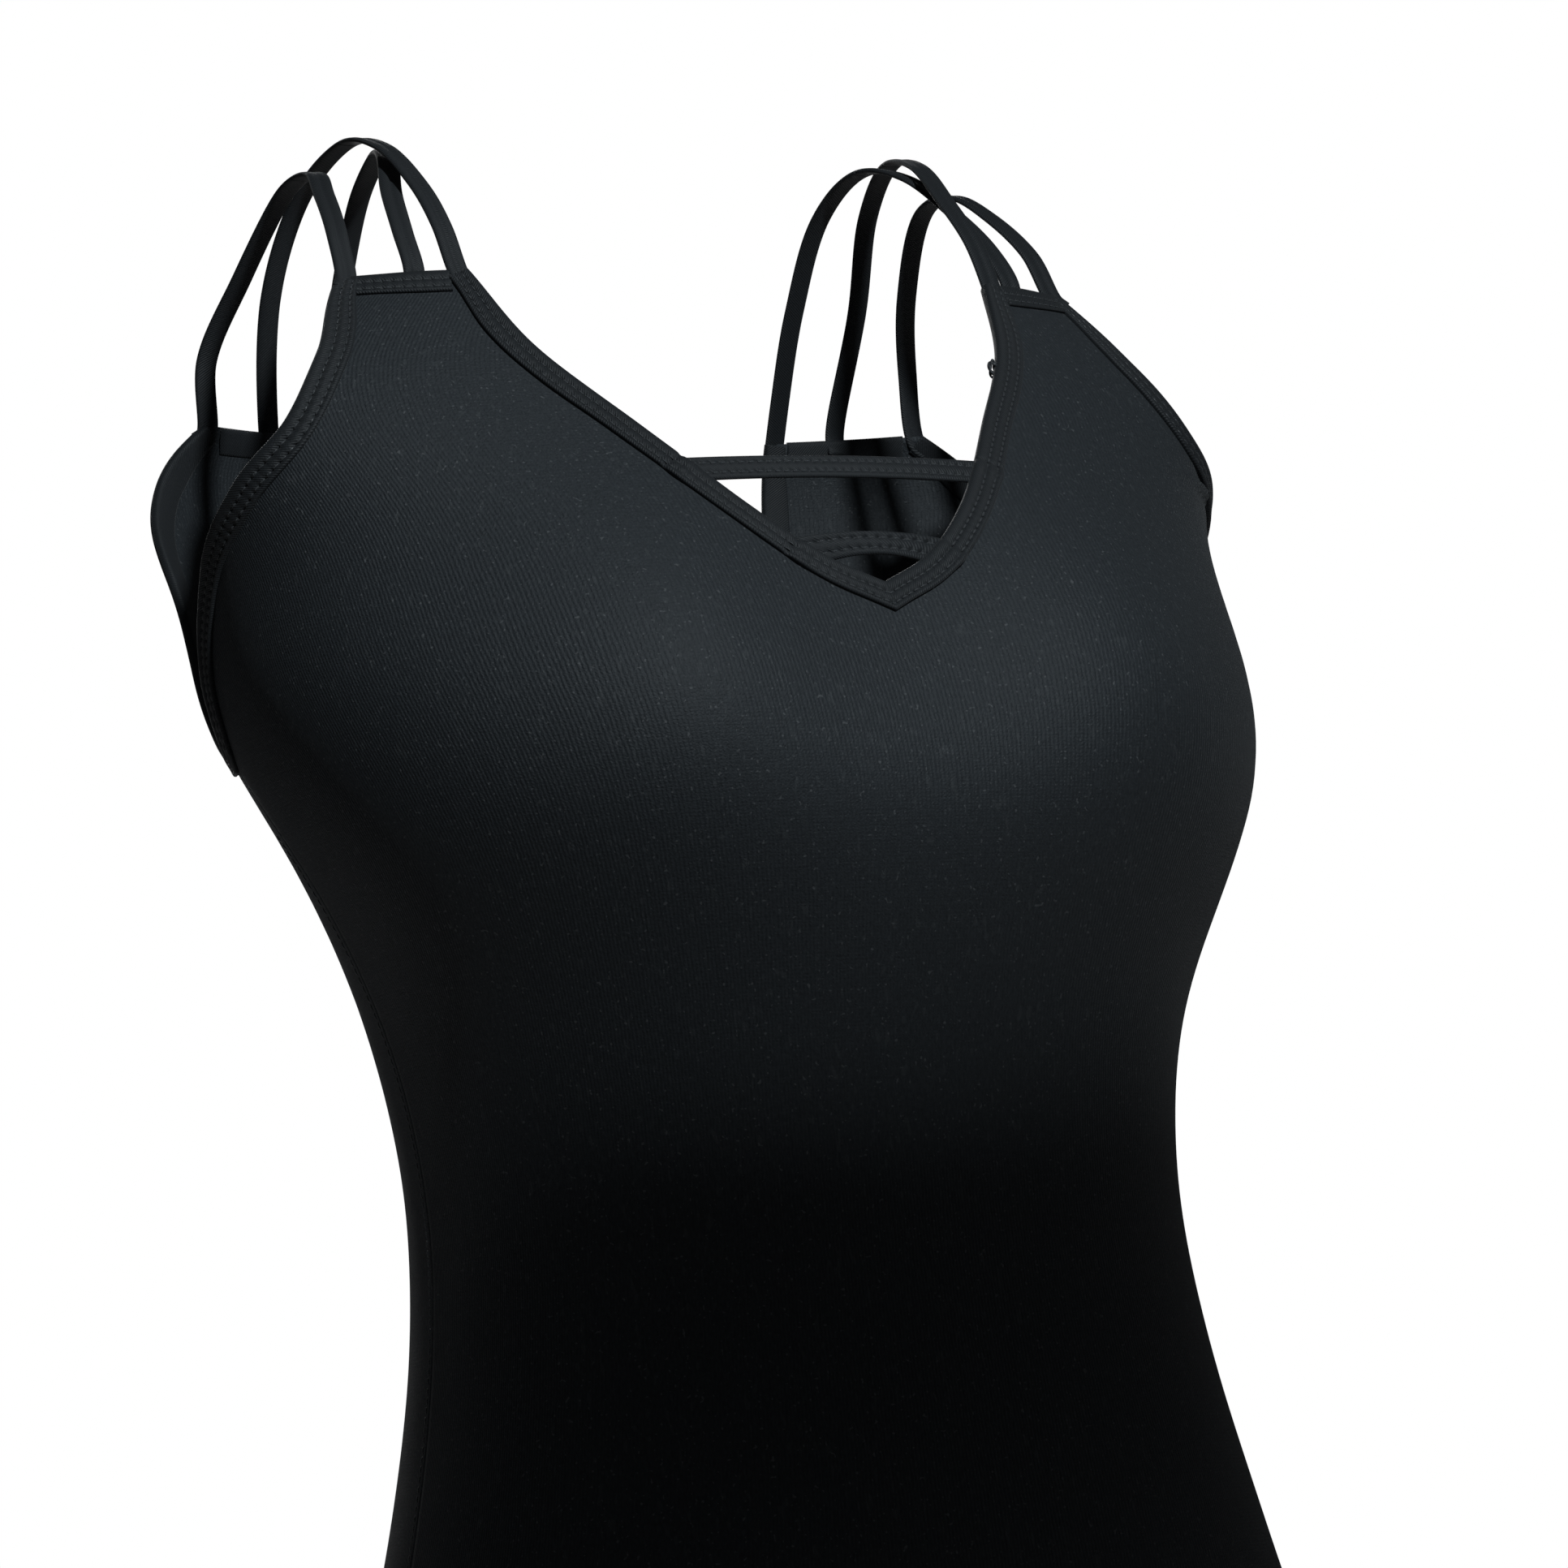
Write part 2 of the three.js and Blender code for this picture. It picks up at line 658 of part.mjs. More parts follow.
// A flat strap from one side of the neckline to the other, cut to the slant of its edges.
function chestStrap({ height, arch }) {
  const rise = chestStrapWidth * 0.95; // the chest leans back, so the strap's top is less high
  const bow = 1;
  const edgeLine = (run, offset) => {
    const end = offsetPoint(neckPlaceAt(run), offset);
    return spread(14, -1, 1).map((t) => {
      const middle = 1 - t * t;
      return new THREE.Vector3(t * (end.x - gap), end.y - bow * middle, end.z + arch * middle);
    });
  };
  const half = chestStrapThickness / 2;
  const layer = (offset) => {
    const [low, high] = [edgeLine(height, offset), edgeLine(height + rise, offset)];
    return low.map((p, i) => [high[i], p]);
  };
  const skin = new Skin();
  thicken(skin, layer(half), layer(-half));
  closeEnds(skin, layer(half), layer(-half));
  return skin.geometry();
}
for (const [name, place] of Object.entries(chestStraps)) add(name, chestStrap(place), tapeCloth);

// ---- Label ----------------------------------------------------------------------------------------
function neckLabel() {
  const topRun = backScoopHeight - labelSize.drop;
  const levels = spread(4, topRun, topRun - labelSize.length);
  const nearest = Math.min(...levels.map((run) => offsetPoint([Math.PI, run], panel[0]).y));
  const box = new THREE.BoxGeometry(labelSize.width, labelSize.thickness, labelSize.length);
  const y = nearest - labelGap - labelSize.thickness / 2;
  box.translate(0, y, formPoint(Math.PI, topRun).z - labelSize.length / 2);
  return box;
}
add("neck_label", neckLabel(), labelCloth);

export default part;
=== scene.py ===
import json
import math

import bmesh
import bpy
import numpy as np
from mathutils import Matrix, Vector


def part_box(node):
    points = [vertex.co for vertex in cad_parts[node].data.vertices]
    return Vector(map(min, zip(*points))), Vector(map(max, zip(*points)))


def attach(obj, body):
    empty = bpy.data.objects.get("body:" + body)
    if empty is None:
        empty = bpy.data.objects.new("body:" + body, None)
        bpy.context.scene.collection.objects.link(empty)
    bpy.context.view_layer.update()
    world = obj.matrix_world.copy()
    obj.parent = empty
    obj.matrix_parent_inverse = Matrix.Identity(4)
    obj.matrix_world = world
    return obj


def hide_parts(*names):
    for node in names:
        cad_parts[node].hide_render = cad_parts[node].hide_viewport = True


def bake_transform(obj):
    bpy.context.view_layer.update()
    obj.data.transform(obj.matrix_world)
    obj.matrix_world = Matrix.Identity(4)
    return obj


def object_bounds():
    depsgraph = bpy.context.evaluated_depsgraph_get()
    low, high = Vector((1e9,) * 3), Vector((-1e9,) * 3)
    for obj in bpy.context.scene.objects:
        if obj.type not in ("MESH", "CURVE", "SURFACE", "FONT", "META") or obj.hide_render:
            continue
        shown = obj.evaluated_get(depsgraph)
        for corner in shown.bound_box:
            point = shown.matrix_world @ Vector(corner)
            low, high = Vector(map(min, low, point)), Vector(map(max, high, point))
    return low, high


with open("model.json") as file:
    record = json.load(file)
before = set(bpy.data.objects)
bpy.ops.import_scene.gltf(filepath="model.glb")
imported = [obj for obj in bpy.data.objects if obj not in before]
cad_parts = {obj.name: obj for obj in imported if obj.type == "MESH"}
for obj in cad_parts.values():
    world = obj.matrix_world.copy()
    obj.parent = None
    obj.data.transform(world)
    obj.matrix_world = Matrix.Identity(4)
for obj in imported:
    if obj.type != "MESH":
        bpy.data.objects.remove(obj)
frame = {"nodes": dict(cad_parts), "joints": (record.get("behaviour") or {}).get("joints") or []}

cad_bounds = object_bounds()
MM = 0.001

# ---- The body form, as in the CAD source, in millimetres ----
HIP = -170.0
CROTCH_DROP = 95.0
RING_POWER = 2.35
RINGS = np.array([
    # height, half width, depth to the front, depth to the back, shift to the back
    [HIP, 158, 103, 117, -2],
    [-100, 138, 97, 96, -3],
    [0, 122, 86, 81, -4],
    [60, 131, 90, 83, -8],
    [115, 155, 99, 86, -13],
    [165, 170, 101, 91, 5],
    [210, 175, 90, 95, 18],
    [255, 183, 71, 91, 26],
    [300, 132, 52, 75, 31],
    [345, 125, 30, 46, 36],
])
BUST = {"apart": 82, "height": 165, "depth": 17, "wide": 51, "tall": 53}
LOWEST = HIP - CROTCH_DROP * math.pi / 2


def natural_spline(xs, ys):
    """A natural cubic spline through (xs, ys), for arrays."""
    count = len(xs)
    step = np.diff(xs)
    system = np.eye(count)
    right = np.zeros(count)
    for i in range(1, count - 1):
        system[i, i - 1:i + 2] = [step[i - 1], 2 * (step[i - 1] + step[i]), step[i]]
        right[i] = 6 * ((ys[i + 1] - ys[i]) / step[i] - (ys[i] - ys[i - 1]) / step[i - 1])
    bend = np.linalg.solve(system, right)

    def at(x):
        i = np.clip(np.searchsorted(xs, x), 1, count - 1)
        h = xs[i] - xs[i - 1]
        a = (xs[i] - x) / h
        b = 1 - a
        curve = ((a**3 - a) * bend[i - 1] + (b**3 - b) * bend[i]) * h * h / 6
        return a * ys[i - 1] + b * ys[i] + curve

    return at


HALF_WIDTH, FRONT_DEPTH, BACK_DEPTH, SHIFT = [
    natural_spline(RINGS[:, 0], RINGS[:, k]) for k in (1, 2, 3, 4)
]


def form(places):
    """Points on the form at an array of places (turn, run), in millimetres."""
    turn, run = places[..., 0], places[..., 1]
    under = np.maximum(0, (HIP - run) / CROTCH_DROP)
    level = np.maximum(run, HIP)
    z = np.where(run < HIP, HIP - CROTCH_DROP * np.sin(under), run)
    s, c = np.sin(turn), np.cos(turn)
    reach = (np.abs(s) ** RING_POWER + np.abs(c) ** RING_POWER) ** (-1 / RING_POWER)
    x = HALF_WIDTH(level) * reach * s
    depth = np.where(c > 0, FRONT_DEPTH(level), BACK_DEPTH(level)) * np.cos(under)
    y = SHIFT(level) - depth * reach * c
    rise = ((z - BUST["height"]) / BUST["tall"]) ** 2
    for side in (-1, 1):
        across = ((x - side * BUST["apart"]) / BUST["wide"]) ** 2
        y = y - BUST["depth"] * np.maximum(c, 0) * np.exp(-across - rise)
    return np.stack([x, y, z], -1)


TURN_STEP, RUN_STEP = 0.004, 0.5


def slopes(places):
    """How a point on the form moves for one radian of turn, and for one millimetre of run."""
    d_turn, d_run = np.array([TURN_STEP, 0.0]), np.array([0.0, RUN_STEP])
    across = (form(places + d_turn) - form(places - d_turn)) / (2 * TURN_STEP)
    up = (form(places + d_run) - form(places - d_run)) / (2 * RUN_STEP)
    return across, up


def unit(v):
    """The vectors, each made one long."""
    return v / np.linalg.norm(v, axis=-1, keepdims=True)


def normals(places):
    across, up = slopes(places)
    return unit(np.cross(across, up))


def lifted(places, height):
    """Points a height off the form."""
    return form(places) + normals(places) * np.asarray(height)[..., None]


def turn_at(distance, run, at_back):
    """The turn at which the form is a distance out from its middle plane, at a run."""
    wide = np.minimum(1, distance / HALF_WIDTH(np.maximum(run, HIP)))
    turn = np.arctan2(wide, (1 - wide**RING_POWER) ** (1 / RING_POWER))
    return math.pi - turn if at_back else turn


# ---- Smooth curves ----
def smooth_curve(points, per_span=40):
    """A centripetal Catmull-Rom curve through points, as a dense polyline."""
    p = np.array(points, float)
    p = np.vstack([2 * p[0] - p[1], p, 2 * p[-1] - p[-2]])
    out = []
    for p0, p1, p2, p3 in zip(p, p[1:], p[2:], p[3:]):
        d0, d1, d2 = [np.linalg.norm(b - a) ** 0.5 for a, b in ((p0, p1), (p1, p2), (p2, p3))]
        m1 = ((p1 - p0) / d0 - (p2 - p0) / (d0 + d1) + (p2 - p1) / d1) * d1
        m2 = ((p2 - p1) / d1 - (p3 - p1) / (d1 + d2) + (p3 - p2) / d2) * d1
        t = np.linspace(0, 1, per_span, endpoint=False)[:, None]
        out.append(
            p1 + m1 * t + (3 * (p2 - p1) - 2 * m1 - m2) * t**2 + (2 * (p1 - p2) + m1 + m2) * t**3
        )
    return np.vstack([*out, p[-2:-1]])


def lengths_along(line):
    """The distance along a polyline from its start to each of its points."""
    return np.concatenate([[0], np.cumsum(np.linalg.norm(np.diff(line, axis=0), axis=1))])


def columns_at(wanted, at, line):
    """Each column of line, interpolated from the positions at to the positions wanted."""
    return np.stack([np.interp(wanted, at, column) for column in line.T], -1)


def spaced(line, count=None, pitch=None, measure=None):
    """The line resampled at even spacing. measure gives the points whose distances count."""
    run = lengths_along(line if measure is None else measure(line))
    if count is None:
        count = max(2, int(round(run[-1] / pitch)) + 1)
    return columns_at(np.linspace(0, run[-1], count), run, line)


# ---- The pattern's edges, as in the CAD source ----
V_POINT, BACK_SCOOP = 178, 120
FRONT_TAB, BACK_TAB = 288, 264
LEG_SIDE, UNDERARM = -150, 150
GUSSET_HALF = 38
EDGE_COUNT = 400


def distance_edge(points, at_back):
    """An edge through points of (distance from the middle plane, run)."""
    line = spaced(smooth_curve(points), EDGE_COUNT)
    return np.stack([turn_at(np.maximum(line[:, 0], 0), line[:, 1], at_back), line[:, 1]], -1)


def turn_edge(points):
    """An edge through points of (turn in degrees, run)."""
    line = spaced(smooth_curve(points), EDGE_COUNT)
    return np.stack([np.radians(line[:, 0]), line[:, 1]], -1)


def leg_edge(points, at_back):
    """A leg opening's edge, from the crotch through points as in distance_edge to the side seam."""
    corners = []
    for x, run in points:
        corners.append([math.degrees(float(turn_at(x, run, at_back))), run])
    return turn_edge([*corners, [92, LEG_SIDE]])


EDGES = {
    "front_neck": distance_edge(
        [[0, V_POINT], [18, 187], [37, 204], [62, 235], [82, 262], [91, FRONT_TAB]], False
    ),
    "back_neck": distance_edge(
        [[0, BACK_SCOOP], [34, 128], [60, 160], [74, 212], [80, BACK_TAB]], True
    ),
    "front_arm": turn_edge(
        [[107, UNDERARM], [104, 157], [99.5, 172], [93.5, 188], [84, 205], [67.5, 222.5],
         [54, 240], [50, 262], [57, FRONT_TAB]]
    ),
    "back_arm": turn_edge(
        [[107, UNDERARM], [112.5, 159], [116, 178], [120, 212], [129, 242], [135, BACK_TAB]]
    ),
    "side": turn_edge([[92, LEG_SIDE], [93, 0], [97, 80], [107, UNDERARM]]),
    "front_leg": leg_edge(
        [[GUSSET_HALF, -318], [44, -282], [66, -235], [104, -192], [140, -163]], False
    ),
    "back_leg": leg_edge(
        [[GUSSET_HALF, -318], [58, -286], [94, -248], [130, -206], [152, -170]], True
    ),
}


def along(edge, shares):
    """Places at shares (0 to 1) of an edge's length."""
    line = EDGES[edge]
    return columns_at(shares, np.linspace(0, 1, len(line)), line)


# ---- Meshes ----
def make_object(name, points, faces, uvs=None, material=None):
    """An object from points in millimetres. uvs are in metres, one per point."""
    mesh = bpy.data.meshes.new(name)
    mesh.from_pydata((np.asarray(points) * MM).tolist(), [], faces)
    if uvs is not None:
        layer = mesh.uv_layers.new(name="cloth")
        index = np.zeros(len(mesh.loops), np.int32)
        mesh.loops.foreach_get("vertex_index", index)
        layer.data.foreach_set("uv", np.asarray(uvs, np.float32)[index].ravel())
    mesh.polygons.foreach_set("use_smooth", [True] * len(mesh.polygons))
    mesh.update()
    item = bpy.data.objects.new(name, mesh)
    bpy.context.scene.collection.objects.link(item)
    if material:
        mesh.materials.append(material)
    return item


def grid_faces(rows, columns, wrap_columns=False, wrap_rows=False):
    """The faces between the points of a grid, joined round to the start where it wraps."""
    faces = []
    for i in range(rows if wrap_rows else rows - 1):
        for j in range(columns if wrap_columns else columns - 1):
            a, b = i * columns + j, i * columns + (j + 1) % columns
            below = ((i + 1) % rows) * columns
            faces.append((a, b, below + (j + 1) % columns, below + j))
    return faces


def end_caps(count, ring):
    """The two faces that close a tube of count sections with ring points each."""
    return [tuple(range(ring)), tuple(reversed(range((count - 1) * ring, count * ring)))]


def weld(item, distance=1e-7):
    """Joins points that lie within a distance (m) of each other, and turns all faces outwards."""
    bm = bmesh.new()
    bm.from_mesh(item.data)
    bmesh.ops.remove_doubles(bm, verts=bm.verts, dist=distance)
    bmesh.ops.recalc_face_normals(bm, faces=bm.faces)
    bm.to_mesh(item.data)
    bm.free()


def thicken(item, thickness):
    """Cloth thickness, added on the inner side."""
    solid = item.modifiers.new("thickness", "SOLIDIFY")
    solid.thickness = thickness * MM
    solid.offset = -1
    solid.use_even_offset = False
    return item


def mirror_x(points):
    return points * np.array([-1, 1, 1])


# ---- Materials ----
BLACK, WHITE = (0, 0, 0), (1, 1, 1)


class Shader:
    """A Principled material with helpers that add and link nodes."""

    def __init__(self, name, roughness, sheen=0.0, specular=0.5):
        self.material = bpy.data.materials.new(name)
        self.material.use_nodes = True
        self.tree = self.material.node_tree
        self.surface = self.tree.nodes["Principled BSDF"]
        self.surface.inputs["Roughness"].default_value = roughness
        self.surface.inputs["Specular IOR Level"].default_value = specular
        self.surface.inputs["Sheen Weight"].default_value = sheen
        self.surface.inputs["Sheen Roughness"].default_value = 0.45
        coordinates = self.tree.nodes.new("ShaderNodeUVMap")
        coordinates.uv_map = "cloth"
        split = self.tree.nodes.new("ShaderNodeSeparateXYZ")
        self.link(coordinates.outputs[0], split.inputs[0])
        self.u, self.v = split.outputs[0], split.outputs[1]
        self.place = self.tree.nodes.new("ShaderNodeTexCoord").outputs["Object"]

    def link(self, a, b):
        self.tree.links.new(a, b)

    def math(self, kind, a, b=0.0):
        node = self.tree.nodes.new("ShaderNodeMath")
        node.operation = kind
        for socket, value in zip(node.inputs, (a, b)):
            if isinstance(value, (int, float)):
                socket.default_value = value
            else:
                self.link(value, socket)
        return node.outputs[0]

    def wave(self, position, pitch):
        """0 to 1 along position, once every pitch."""
        turns = self.math("MULTIPLY", position, 2 * math.pi / pitch)
        return self.math("ADD", self.math("MULTIPLY", self.math("SINE", turns), 0.5), 0.5)

    def noise(self, size, detail=2.0, stretch=None):
        """Cloudy noise of 0 to 1, with patches of about a size in metres."""
        node = self.tree.nodes.new("ShaderNodeTexNoise")
        node.inputs["Scale"].default_value = 1 / size
        node.inputs["Detail"].default_value = detail
        vector = self.place
        if stretch:
            scale = self.tree.nodes.new("ShaderNodeMapping")
            scale.inputs["Scale"].default_value = stretch
            self.link(vector, scale.inputs["Vector"])
            vector = scale.outputs[0]
        self.link(vector, node.inputs["Vector"])
        return node.outputs["Fac"]

    def ramp(self, value, stops):
        """stops is a list of (position, colour)."""
        node = self.tree.nodes.new("ShaderNodeValToRGB")
        elements = node.color_ramp.elements
        while len(elements) < len(stops):
            elements.new(0.5)
        for element, (at, colour) in zip(elements, stops):
            element.position = at
            element.color = (*colour, 1)
        self.link(value, node.inputs[0])
        return node.outputs[0]

    def mix(self, share, a, b):
        """Colour a where share is 0, and b where it is 1."""
        node = self.tree.nodes.new("ShaderNodeMix")
        node.data_type = "RGBA"
        for socket, value in zip((node.inputs[0], node.inputs[6], node.inputs[7]), (share, a, b)):
            if isinstance(value, (int, float)):
                socket.default_value = value
            elif isinstance(value, tuple):
                socket.default_value = (*value, 1)
            else:
                self.link(value, socket)
        return node.outputs[2]

    def colour(self, output):
        self.link(output, self.surface.inputs["Base Color"])

    def roughness(self, value, low, high):
        node = self.tree.nodes.new("ShaderNodeMapRange")
        node.inputs["To Min"].default_value = low
        node.inputs["To Max"].default_value = high
        self.link(value, node.inputs["Value"])
        self.link(node.outputs[0], self.surface.inputs["Roughness"])

    def bump(self, heights):
        """heights is a list of (0 to 1 output, depth in metres), stacked."""
        normal = None
        for height, depth in heights:
            node = self.tree.nodes.new("ShaderNodeBump")
            node.inputs["Strength"].default_value = 1.0
            node.inputs["Distance"].default_value = depth
            self.link(height, node.inputs["Height"])
            if normal:
                self.link(normal, node.inputs["Normal"])
            normal = node.outputs[0]
        self.link(normal, self.surface.inputs["Normal"])


RIB_PITCH, COURSE_PITCH = 0.00125, 0.0011
TWILL_PITCH, TWIST_PITCH = 0.00085, 0.0006


def jersey_material():
    """A dark blue-black knit: fine upright ribs that wander a little, grain, fibres and specks."""
    s = Shader("jersey", 0.62, sheen=0.10, specular=0.35)
    wander = s.math("MULTIPLY", s.noise(0.012, 1.0), 0.0009)
    ribs = s.wave(s.math("ADD", s.u, wander), RIB_PITCH)
    courses = s.wave(s.v, COURSE_PITCH)
    knit = s.math("MULTIPLY", ribs, s.math("ADD", s.math("MULTIPLY", courses, 0.35), 0.65))
    dashes = s.noise(0.0007, 2.0, stretch=(1, 1, 0.4))
    grain = s.noise(0.0005, 3.0)
    cloudy = s.noise(0.03, 3.0)
    fibres = s.ramp(s.noise(0.0016, 0.0, stretch=(1, 1, 0.35)), [(0.70, BLACK), (0.78, WHITE)])
    specks = s.ramp(s.noise(0.0010, 0.0), [(0.75, BLACK), (0.80, WHITE)])
    dark, light = (0.0125, 0.0160, 0.0195), (0.0280, 0.0335, 0.0385)
    base = s.mix(s.ramp(dashes, [(0.28, BLACK), (0.74, WHITE)]), dark, light)
    tinted = s.mix(s.math("MULTIPLY", knit, 0.11), base, (0.034, 0.039, 0.044))
    shaded = s.mix(s.math("MULTIPLY", cloudy, 0.28), tinted, (0.016, 0.019, 0.023))
    hairy = s.mix(s.math("MULTIPLY", fibres, 0.30), shaded, (0.060, 0.066, 0.070))
    s.colour(s.mix(s.math("MULTIPLY", specks, 0.55), hairy, (0.11, 0.115, 0.12)))
    s.roughness(grain, 0.52, 0.74)
    s.bump([(knit, 0.00011), (grain, 0.00026)])
    return s.material


def tape_material():
    """The tapes' and straps' darker cloth, with a slanted twill and worn patches."""
    s = Shader("tape", 0.6, sheen=0.1, specular=0.35)
    slanted = s.math("ADD", s.u, s.math("MULTIPLY", s.v, 0.8))
    twill = s.wave(slanted, TWILL_PITCH)
    grain = s.noise(0.0006, 3.0)
    worn = s.noise(0.009, 2.0)
    base = s.mix(grain, (0.007, 0.0085, 0.010), (0.019, 0.022, 0.025))
    ribbed = s.mix(s.math("MULTIPLY", twill, 0.35), base, (0.026, 0.029, 0.033))
    s.colour(s.mix(s.math("MULTIPLY", worn, 0.35), ribbed, (0.015, 0.017, 0.020)))
    s.roughness(grain, 0.5, 0.72)
    s.bump([(twill, 0.00010), (grain, 0.00012)])
    return s.material


def thread_material():
    s = Shader("thread", 0.45, sheen=0.15)
    twist_and_glint = s.wave(s.math("ADD", s.u, s.v), TWIST_PITCH)
    # the twist is the thread's own, but the light colour of its stripes is painted glint
    s.colour(s.mix(twist_and_glint, (0.022, 0.025, 0.028), (0.060, 0.065, 0.070)))
    s.bump([(twist_and_glint, 0.00006)])
    return s.material


def lining_material():
    s = Shader("lining", 0.75, sheen=0.2)
    mesh = s.math("MULTIPLY", s.wave(s.u, 0.0016), s.wave(s.v, 0.0016))
    grain = s.noise(0.0006, 2.0)
    base = s.mix(grain, (0.012, 0.012, 0.014), (0.026, 0.027, 0.030))
    s.colour(s.mix(s.math("MULTIPLY", mesh, 0.7), base, (0.006, 0.006, 0.007)))
    s.roughness(grain, 0.65, 0.85)
    s.bump([(mesh, 0.00018), (grain, 0.00006)])
    return s.material


def elastic_material():
    s = Shader("elastic", 0.65, sheen=0.25)
    ribs = s.wave(s.v, 0.0013)
    braid = s.wave(s.u, 0.0009)
    grain = s.noise(0.0005, 2.0)
    base = s.mix(grain, (0.016, 0.016, 0.018), (0.034, 0.034, 0.037))
    s.colour(s.mix(s.math("MULTIPLY", ribs, 0.4), base, (0.045, 0.045, 0.048)))
    s.roughness(grain, 0.55, 0.75)
    s.bump([(ribs, 0.00020), (braid, 0.00010)])
    return s.material


def label_material():
    s = Shader("label", 0.42, sheen=0.1)
    weave = s.math("MULTIPLY", s.wave(s.u, 0.0005), s.wave(s.v, 0.0007))
    grain = s.noise(0.004, 3.0)
    base = s.mix(grain, (0.56, 0.56, 0.54), (0.68, 0.68, 0.66))
    s.colour(s.mix(s.math("MULTIPLY", weave, 0.25), base, (0.48, 0.48, 0.46)))
    s.roughness(weave, 0.35, 0.55)
    s.bump([(weave, 0.00005), (grain, 0.0002)])
    return s.material


JERSEY, TAPE, THREAD = jersey_material(), tape_material(), thread_material()
LINING, ELASTIC, LABEL = lining_material(), elastic_material(), label_material()


def finish_piece(item, slot, *nodes, body="garment"):
    """Declares a piece's body and hides the CAD nodes that it stands for. slot is not used."""
    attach(item, body)
    if nodes:
        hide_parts(*nodes)
    return item


# ---- Panels ----
PANEL_COLUMNS = 44
PANEL_ROWS = (52, 76, 22, 52)  # beside the leg, the side seam, the lower armhole and the neckline
LEG_TOP = -120
CLOTH_RADIUS = 0.142  # metres of knit for each radian of turn
MERGE = 2e-5
LINING_ROWS = slice(112, -11)  # of the front panel's rows
BAND_ROWS = 8
CLOTH, LINING_CLOTH = 0.8, 0.6


def half_rows(at_back):
    """Rows of places from the centre line to the edge of one half panel."""
    centre = math.pi if at_back else 0.0
    side = "back" if at_back else "front"
    chest, neck_base, arm_share = (70, BACK_SCOOP, 0.3) if at_back else (130, V_POINT, 0.36)

    def middle(t, low, high):
        return np.stack([np.full_like(t, centre), low + t * (high - low)], -1)

    leg, body, chest_rows, shoulder = [np.linspace(0, 1, count) for count in PANEL_ROWS]
    body, chest_rows, shoulder = body[1:], chest_rows[1:], shoulder[1:]
    inner = [
        middle(leg, LOWEST, LEG_TOP),
        middle(body, LEG_TOP, chest),
        middle(chest_rows, chest, neck_base),
        along(side + "_neck", shoulder),
    ]
    outer = [
        np.maximum(along(side + "_leg", leg), [0, LOWEST]),
        along("side", body),
        along(side + "_arm", chest_rows * arm_share),
        along(side + "_arm", arm_share + shoulder * (1 - arm_share)),
    ]
    shares = 0.5 - 0.5 * np.cos(np.linspace(0, math.pi, PANEL_COLUMNS))
    shares = (0.55 * shares + 0.45 * np.linspace(0, 1, PANEL_COLUMNS))[None, :, None]
    inner, outer = np.vstack(inner)[:, None], np.vstack(outer)[:, None]
    return inner + (outer - inner) * shares


def cloth_uv(places):
    """Knit ribs follow lines of equal turn, as cloth that is stretched round a body does."""
    return np.stack([places[..., 0] * CLOTH_RADIUS, places[..., 1] * MM], -1)


PINCH = {"turn": 1.13, "run": 220, "reach": 0.30, "slope": 18, "width": 2.4, "rise": 1.7}


def relief(places, pinched):
    """Small unevenness of cloth that is pulled tight, in millimetres."""
    turn, run = places[..., 0], places[..., 1]
    soft = 0.10 * np.sin(run / 23 + 3 * turn) * np.sin(5 * turn - run / 41)
    soft = soft + 0.05 * np.sin(run / 9.0 + 11 * turn)
    if not pinched:
        return soft
    # one small fold that runs in from the armhole, with a hollow on each side of it
    inside = PINCH["turn"] - turn
    across = (run - PINCH["run"] - PINCH["slope"] * inside) / PINCH["width"]
    fading = np.exp(-((inside / PINCH["reach"]) ** 2))
    return soft + PINCH["rise"] * fading * (1 - 1.6 * across**2) * np.exp(-across**2)


def panel(name, at_back):
    half = half_rows(at_back)
    rows, columns = half.shape[:2]
    left = lifted(half, relief(half, pinched=not at_back))
    right = mirror_x(lifted(half, relief(half, pinched=False)))
    points = np.vstack([left.reshape(-1, 3), right.reshape(-1, 3)])
    uv = cloth_uv(half).reshape(-1, 2)
    centre = math.pi * CLOTH_RADIUS if at_back else 0.0
    uvs = np.vstack([uv, [2 * centre, 0] - uv * [1, -1]])
    faces = grid_faces(rows, columns)
    shift = rows * columns
    faces += [tuple(shift + k for k in reversed(face)) for face in grid_faces(rows, columns)]
    item = make_object(name, points, faces, uvs, JERSEY)
    weld(item, MERGE)
    return thicken(item, CLOTH)


front_cloth = finish_piece(panel("front_cloth", False), "jersey", "front_panel")
back_cloth = finish_piece(panel("back_cloth", True), "jersey", "back_panel")

# ---- Folded tapes sewn over an edge ----
TAPE_WIDTH = 9.0
STITCH_PITCH = 2.9
TAPE_STEP = STITCH_PITCH / 6
STITCH_ROWS = (0.42, 0.79)  # shares of the tape's width
THREAD_LENGTH, THREAD_RADIUS = 0.80, 0.27  # a share of the pitch, and millimetres
NEEDLE_DENT, CHANNEL_HALF = 0.55, 0.62
LIP_WAVER, TOP_WAVER = 0.11, 0.05
HUMP, HUMP_DENT = 0.40, 0.45


def inwards_of(path, side, closed=False):
    """For each place of a path, the change of place for one millimetre in from the edge."""
    solid = form(path)
    tangent = unit(np.gradient(solid, axis=0))
    if closed:
        tangent = unit(np.roll(solid, -3, 0) - np.roll(solid, 3, 0))
    across, up = slopes(path)
    inward = np.cross(normals(path), tangent) * side
    aa, au, uu = (across**2).sum(-1), (across * up).sum(-1), (up**2).sum(-1)
    ia, iu = (inward * across).sum(-1), (inward * up).sum(-1)
    det = aa * uu - au * au
    return np.stack([(ia * uu - iu * au) / det, (iu * aa - ia * au) / det], -1)


